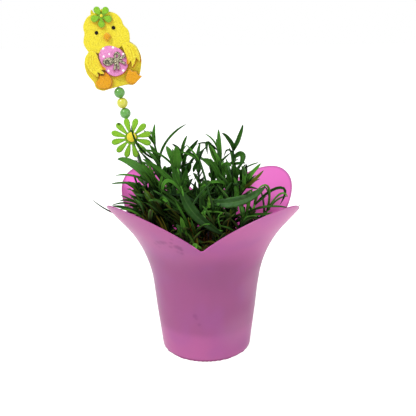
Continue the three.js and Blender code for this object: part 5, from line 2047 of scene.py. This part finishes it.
def make_bow(finish):
    """The bow's flat ribbons, which stand on the egg."""
    width, thickness = RIBBON
    section = ((-0.5, 0), (-0.5, 0.7), (-0.3, 1), (0.3, 1), (0.5, 0.7), (0.5, 0))
    sides = len(section)
    points = []
    faces = []
    for lift, (is_loop, drawn) in enumerate(RIBBONS):
        line = ribbon_path(is_loop, drawn)
        start = len(points)
        if is_loop:
            way = np.roll(line, -1, 0) - np.roll(line, 1, 0)
        else:
            way = np.gradient(line, axis=0)
        for (x, up), (along, rise) in zip(line, unit(way)):
            points += [
                (x - rise * width * out, -TOP - (0.08 * lift + high) * thickness,
                 up + along * width * out)
                for out, high in section
            ]
        faces += band_faces(sides, len(line), is_loop, start)
        if not is_loop:
            faces.append(tuple(range(start, start + sides))[::-1])
            faces.append(tuple(range(len(points) - sides, len(points))))
    bow = mesh_piece("bow_ribbons", finish, points, faces)
    face_outward(bow)
    in_place(bow)
    place(bow, "glitter", "bow")
    return bow


def make_trim(settings):
    """Eyes, the egg's painted dots and the glitter bow."""
    eye = black_bead()
    for side, spot in zip(SIDES, EYES):
        dome_piece("bead_eye_" + side, eye, "black_plastic", spot, TOP, 1.55, 1.2, "eye_" + side)
    paint = white_paint()
    for i, spot in enumerate(EGG_DOTS):
        dome_piece(f"egg_dot_{i + 1}", paint, "pink_felt", spot, TOP - 0.2, 1.05, 0.45)
    glitter = sparkle(settings)
    bow = make_bow(glitter)
    dome_piece("bow_knot", glitter, "glitter", KNOT, TOP, 1.6, 1.5)
    grains = scatter_tree("Glitter grains", "flake").run(
        "bow_grains", bow.data.copy(), density=6000000.0, smallest=0.00022, largest=0.0005,
        seed=8, material=glitter,
    )
    place(grains, "glitter")


# Stage


def aimed(name, data, spot, target, roll=0.0):
    """A lamp or a camera that looks from one spot to another."""
    made = new_object(name, data)
    made.location = spot
    straight = (Vector(target) - Vector(spot)).to_track_quat("-Z", "Y").to_matrix()
    made.rotation_euler = (straight @ Matrix.Rotation(roll, 3, "Z")).to_euler()
    return made


def make_camera(settings):
    camera = bpy.data.cameras.new("Camera")
    camera.sensor_width = 36
    camera.lens = settings.focal
    camera.shift_x, camera.shift_y = settings.shift
    camera.clip_start = 0.01
    camera.clip_end = 50
    target = (0, 0, settings.target_height)
    made = aimed("Camera", camera, settings.camera_place, target, settings.roll)
    bpy.context.scene.camera = made


FLOOR = 4000
KEY_WAY = (0.55, 0.5, -0.9)
FILL_PLACE = (0.9, -0.5, 0.7)
FILL_TARGET = (0, 0, 0.13)
FILL_SIZE = 0.9


def make_stage(settings):
    """A pale floor, even light from all round, a wide soft key light and a lamp."""
    corners = [(-FLOOR, -FLOOR, 0), (FLOOR, -FLOOR, 0), (FLOOR, FLOOR, 0), (-FLOOR, FLOOR, 0)]
    mesh_piece("floor", floor_paint(settings), corners, [(0, 1, 2, 3)])
    world = bpy.data.worlds.new("Studio")
    world.use_nodes = True
    room = Tree(world.node_tree)
    room.tree.nodes.clear()
    seen = room.node("ShaderNodeLightPath", output="Is_Camera_Ray")
    strength = seen * (settings.backdrop - settings.sky) + settings.sky
    sky = room.node("ShaderNodeBackground", None, (1, 1, 1), strength)
    room.node("ShaderNodeOutputWorld", None, sky)
    bpy.context.scene.world = world
    key = bpy.data.lights.new("Key", "SUN")
    key.energy = settings.key
    key.angle = settings.key_size
    aimed("Key", key, (0, 0, 0), KEY_WAY)
    fill = bpy.data.lights.new("Fill", "AREA")
    fill.shape = "DISK"
    fill.size = FILL_SIZE
    fill.energy = settings.fill
    aimed("Fill", fill, FILL_PLACE, FILL_TARGET)
    make_camera(settings)
    bpy.context.scene.view_settings.view_transform = "Standard"
    bpy.context.scene.view_settings.look = "None"


# Operators and panel


class DIANTHUS_OT_cover(bpy.types.Operator):
    """Make the frosted cover with its four petals"""

    bl_idname = "dianthus.cover"
    bl_label = "Cover"

    def execute(self, context):
        make_cover(context.scene.dianthus_cover)
        return {"FINISHED"}


class DIANTHUS_OT_pot(bpy.types.Operator):
    """Make the grower pot and the soil with its crumbs"""

    bl_idname = "dianthus.pot"
    bl_label = "Pot and soil"

    def execute(self, context):
        make_pot(context.scene.dianthus_pot)
        make_soil(context.scene.dianthus_pot)
        return {"FINISHED"}


class DIANTHUS_OT_foliage(bpy.types.Operator):
    """Make the leafy stems"""

    bl_idname = "dianthus.foliage"
    bl_label = "Leafy stems"

    def execute(self, context):
        make_foliage(context.scene.dianthus_foliage, context.scene.dianthus_cover)
        return {"FINISHED"}


class DIANTHUS_OT_wire(bpy.types.Operator):
    """Make the wire and its wooden beads"""

    bl_idname = "dianthus.wire"
    bl_label = "Wire and beads"

    def execute(self, context):
        make_wire(context.scene.dianthus_pick)
        make_beads(context.scene.dianthus_pick)
        return {"FINISHED"}


class DIANTHUS_OT_felt(bpy.types.Operator):
    """Make the felt chick, its egg, the daisy and the head flower"""

    bl_idname = "dianthus.felt"
    bl_label = "Felt pieces"

    def execute(self, context):
        make_felt(context.scene.dianthus_pick)
        return {"FINISHED"}


class DIANTHUS_OT_trim(bpy.types.Operator):
    """Make the eyes, the egg's dots and the glitter bow"""

    bl_idname = "dianthus.trim"
    bl_label = "Trim"

    def execute(self, context):
        make_trim(context.scene.dianthus_pick)
        return {"FINISHED"}


class DIANTHUS_OT_stage(bpy.types.Operator):
    """Make the floor, the lights and the camera"""

    bl_idname = "dianthus.stage"
    bl_label = "Stage"

    def execute(self, context):
        make_stage(context.scene.dianthus_stage)
        return {"FINISHED"}


SETTINGS = {
    "dianthus_cover": CoverSettings,
    "dianthus_pot": PotSettings,
    "dianthus_foliage": FoliageSettings,
    "dianthus_pick": PickSettings,
    "dianthus_stage": StageSettings,
}
OPERATORS = (
    DIANTHUS_OT_cover,
    DIANTHUS_OT_pot,
    DIANTHUS_OT_foliage,
    DIANTHUS_OT_wire,
    DIANTHUS_OT_felt,
    DIANTHUS_OT_trim,
    DIANTHUS_OT_stage,
)


class DIANTHUS_PT_panel(bpy.types.Panel):
    """Lists the pieces and their settings"""

    bl_label = "Potted Dianthus"
    bl_space_type = "VIEW_3D"
    bl_region_type = "UI"
    bl_category = "Dianthus"

    def draw(self, context):
        for operator in OPERATORS:
            self.layout.operator(operator.bl_idname)
        for name in SETTINGS:
            box = self.layout.box()
            settings = getattr(context.scene, name)
            for key in settings.__annotations__:
                box.prop(settings, key)


CLASSES = (*SETTINGS.values(), *OPERATORS, DIANTHUS_PT_panel)


def register():
    for made in CLASSES:
        bpy.utils.register_class(made)
    for name, kind in SETTINGS.items():
        setattr(bpy.types.Scene, name, PointerProperty(type=kind))


def unregister():
    for name in SETTINGS:
        delattr(bpy.types.Scene, name)
    for made in reversed(CLASSES):
        bpy.utils.unregister_class(made)


def main():
    register()
    bpy.ops.dianthus.cover()
    bpy.ops.dianthus.pot()
    bpy.ops.dianthus.foliage()
    bpy.ops.dianthus.wire()
    bpy.ops.dianthus.felt()
    bpy.ops.dianthus.trim()
    bpy.ops.dianthus.stage()


if __name__ == "__main__":
    main()
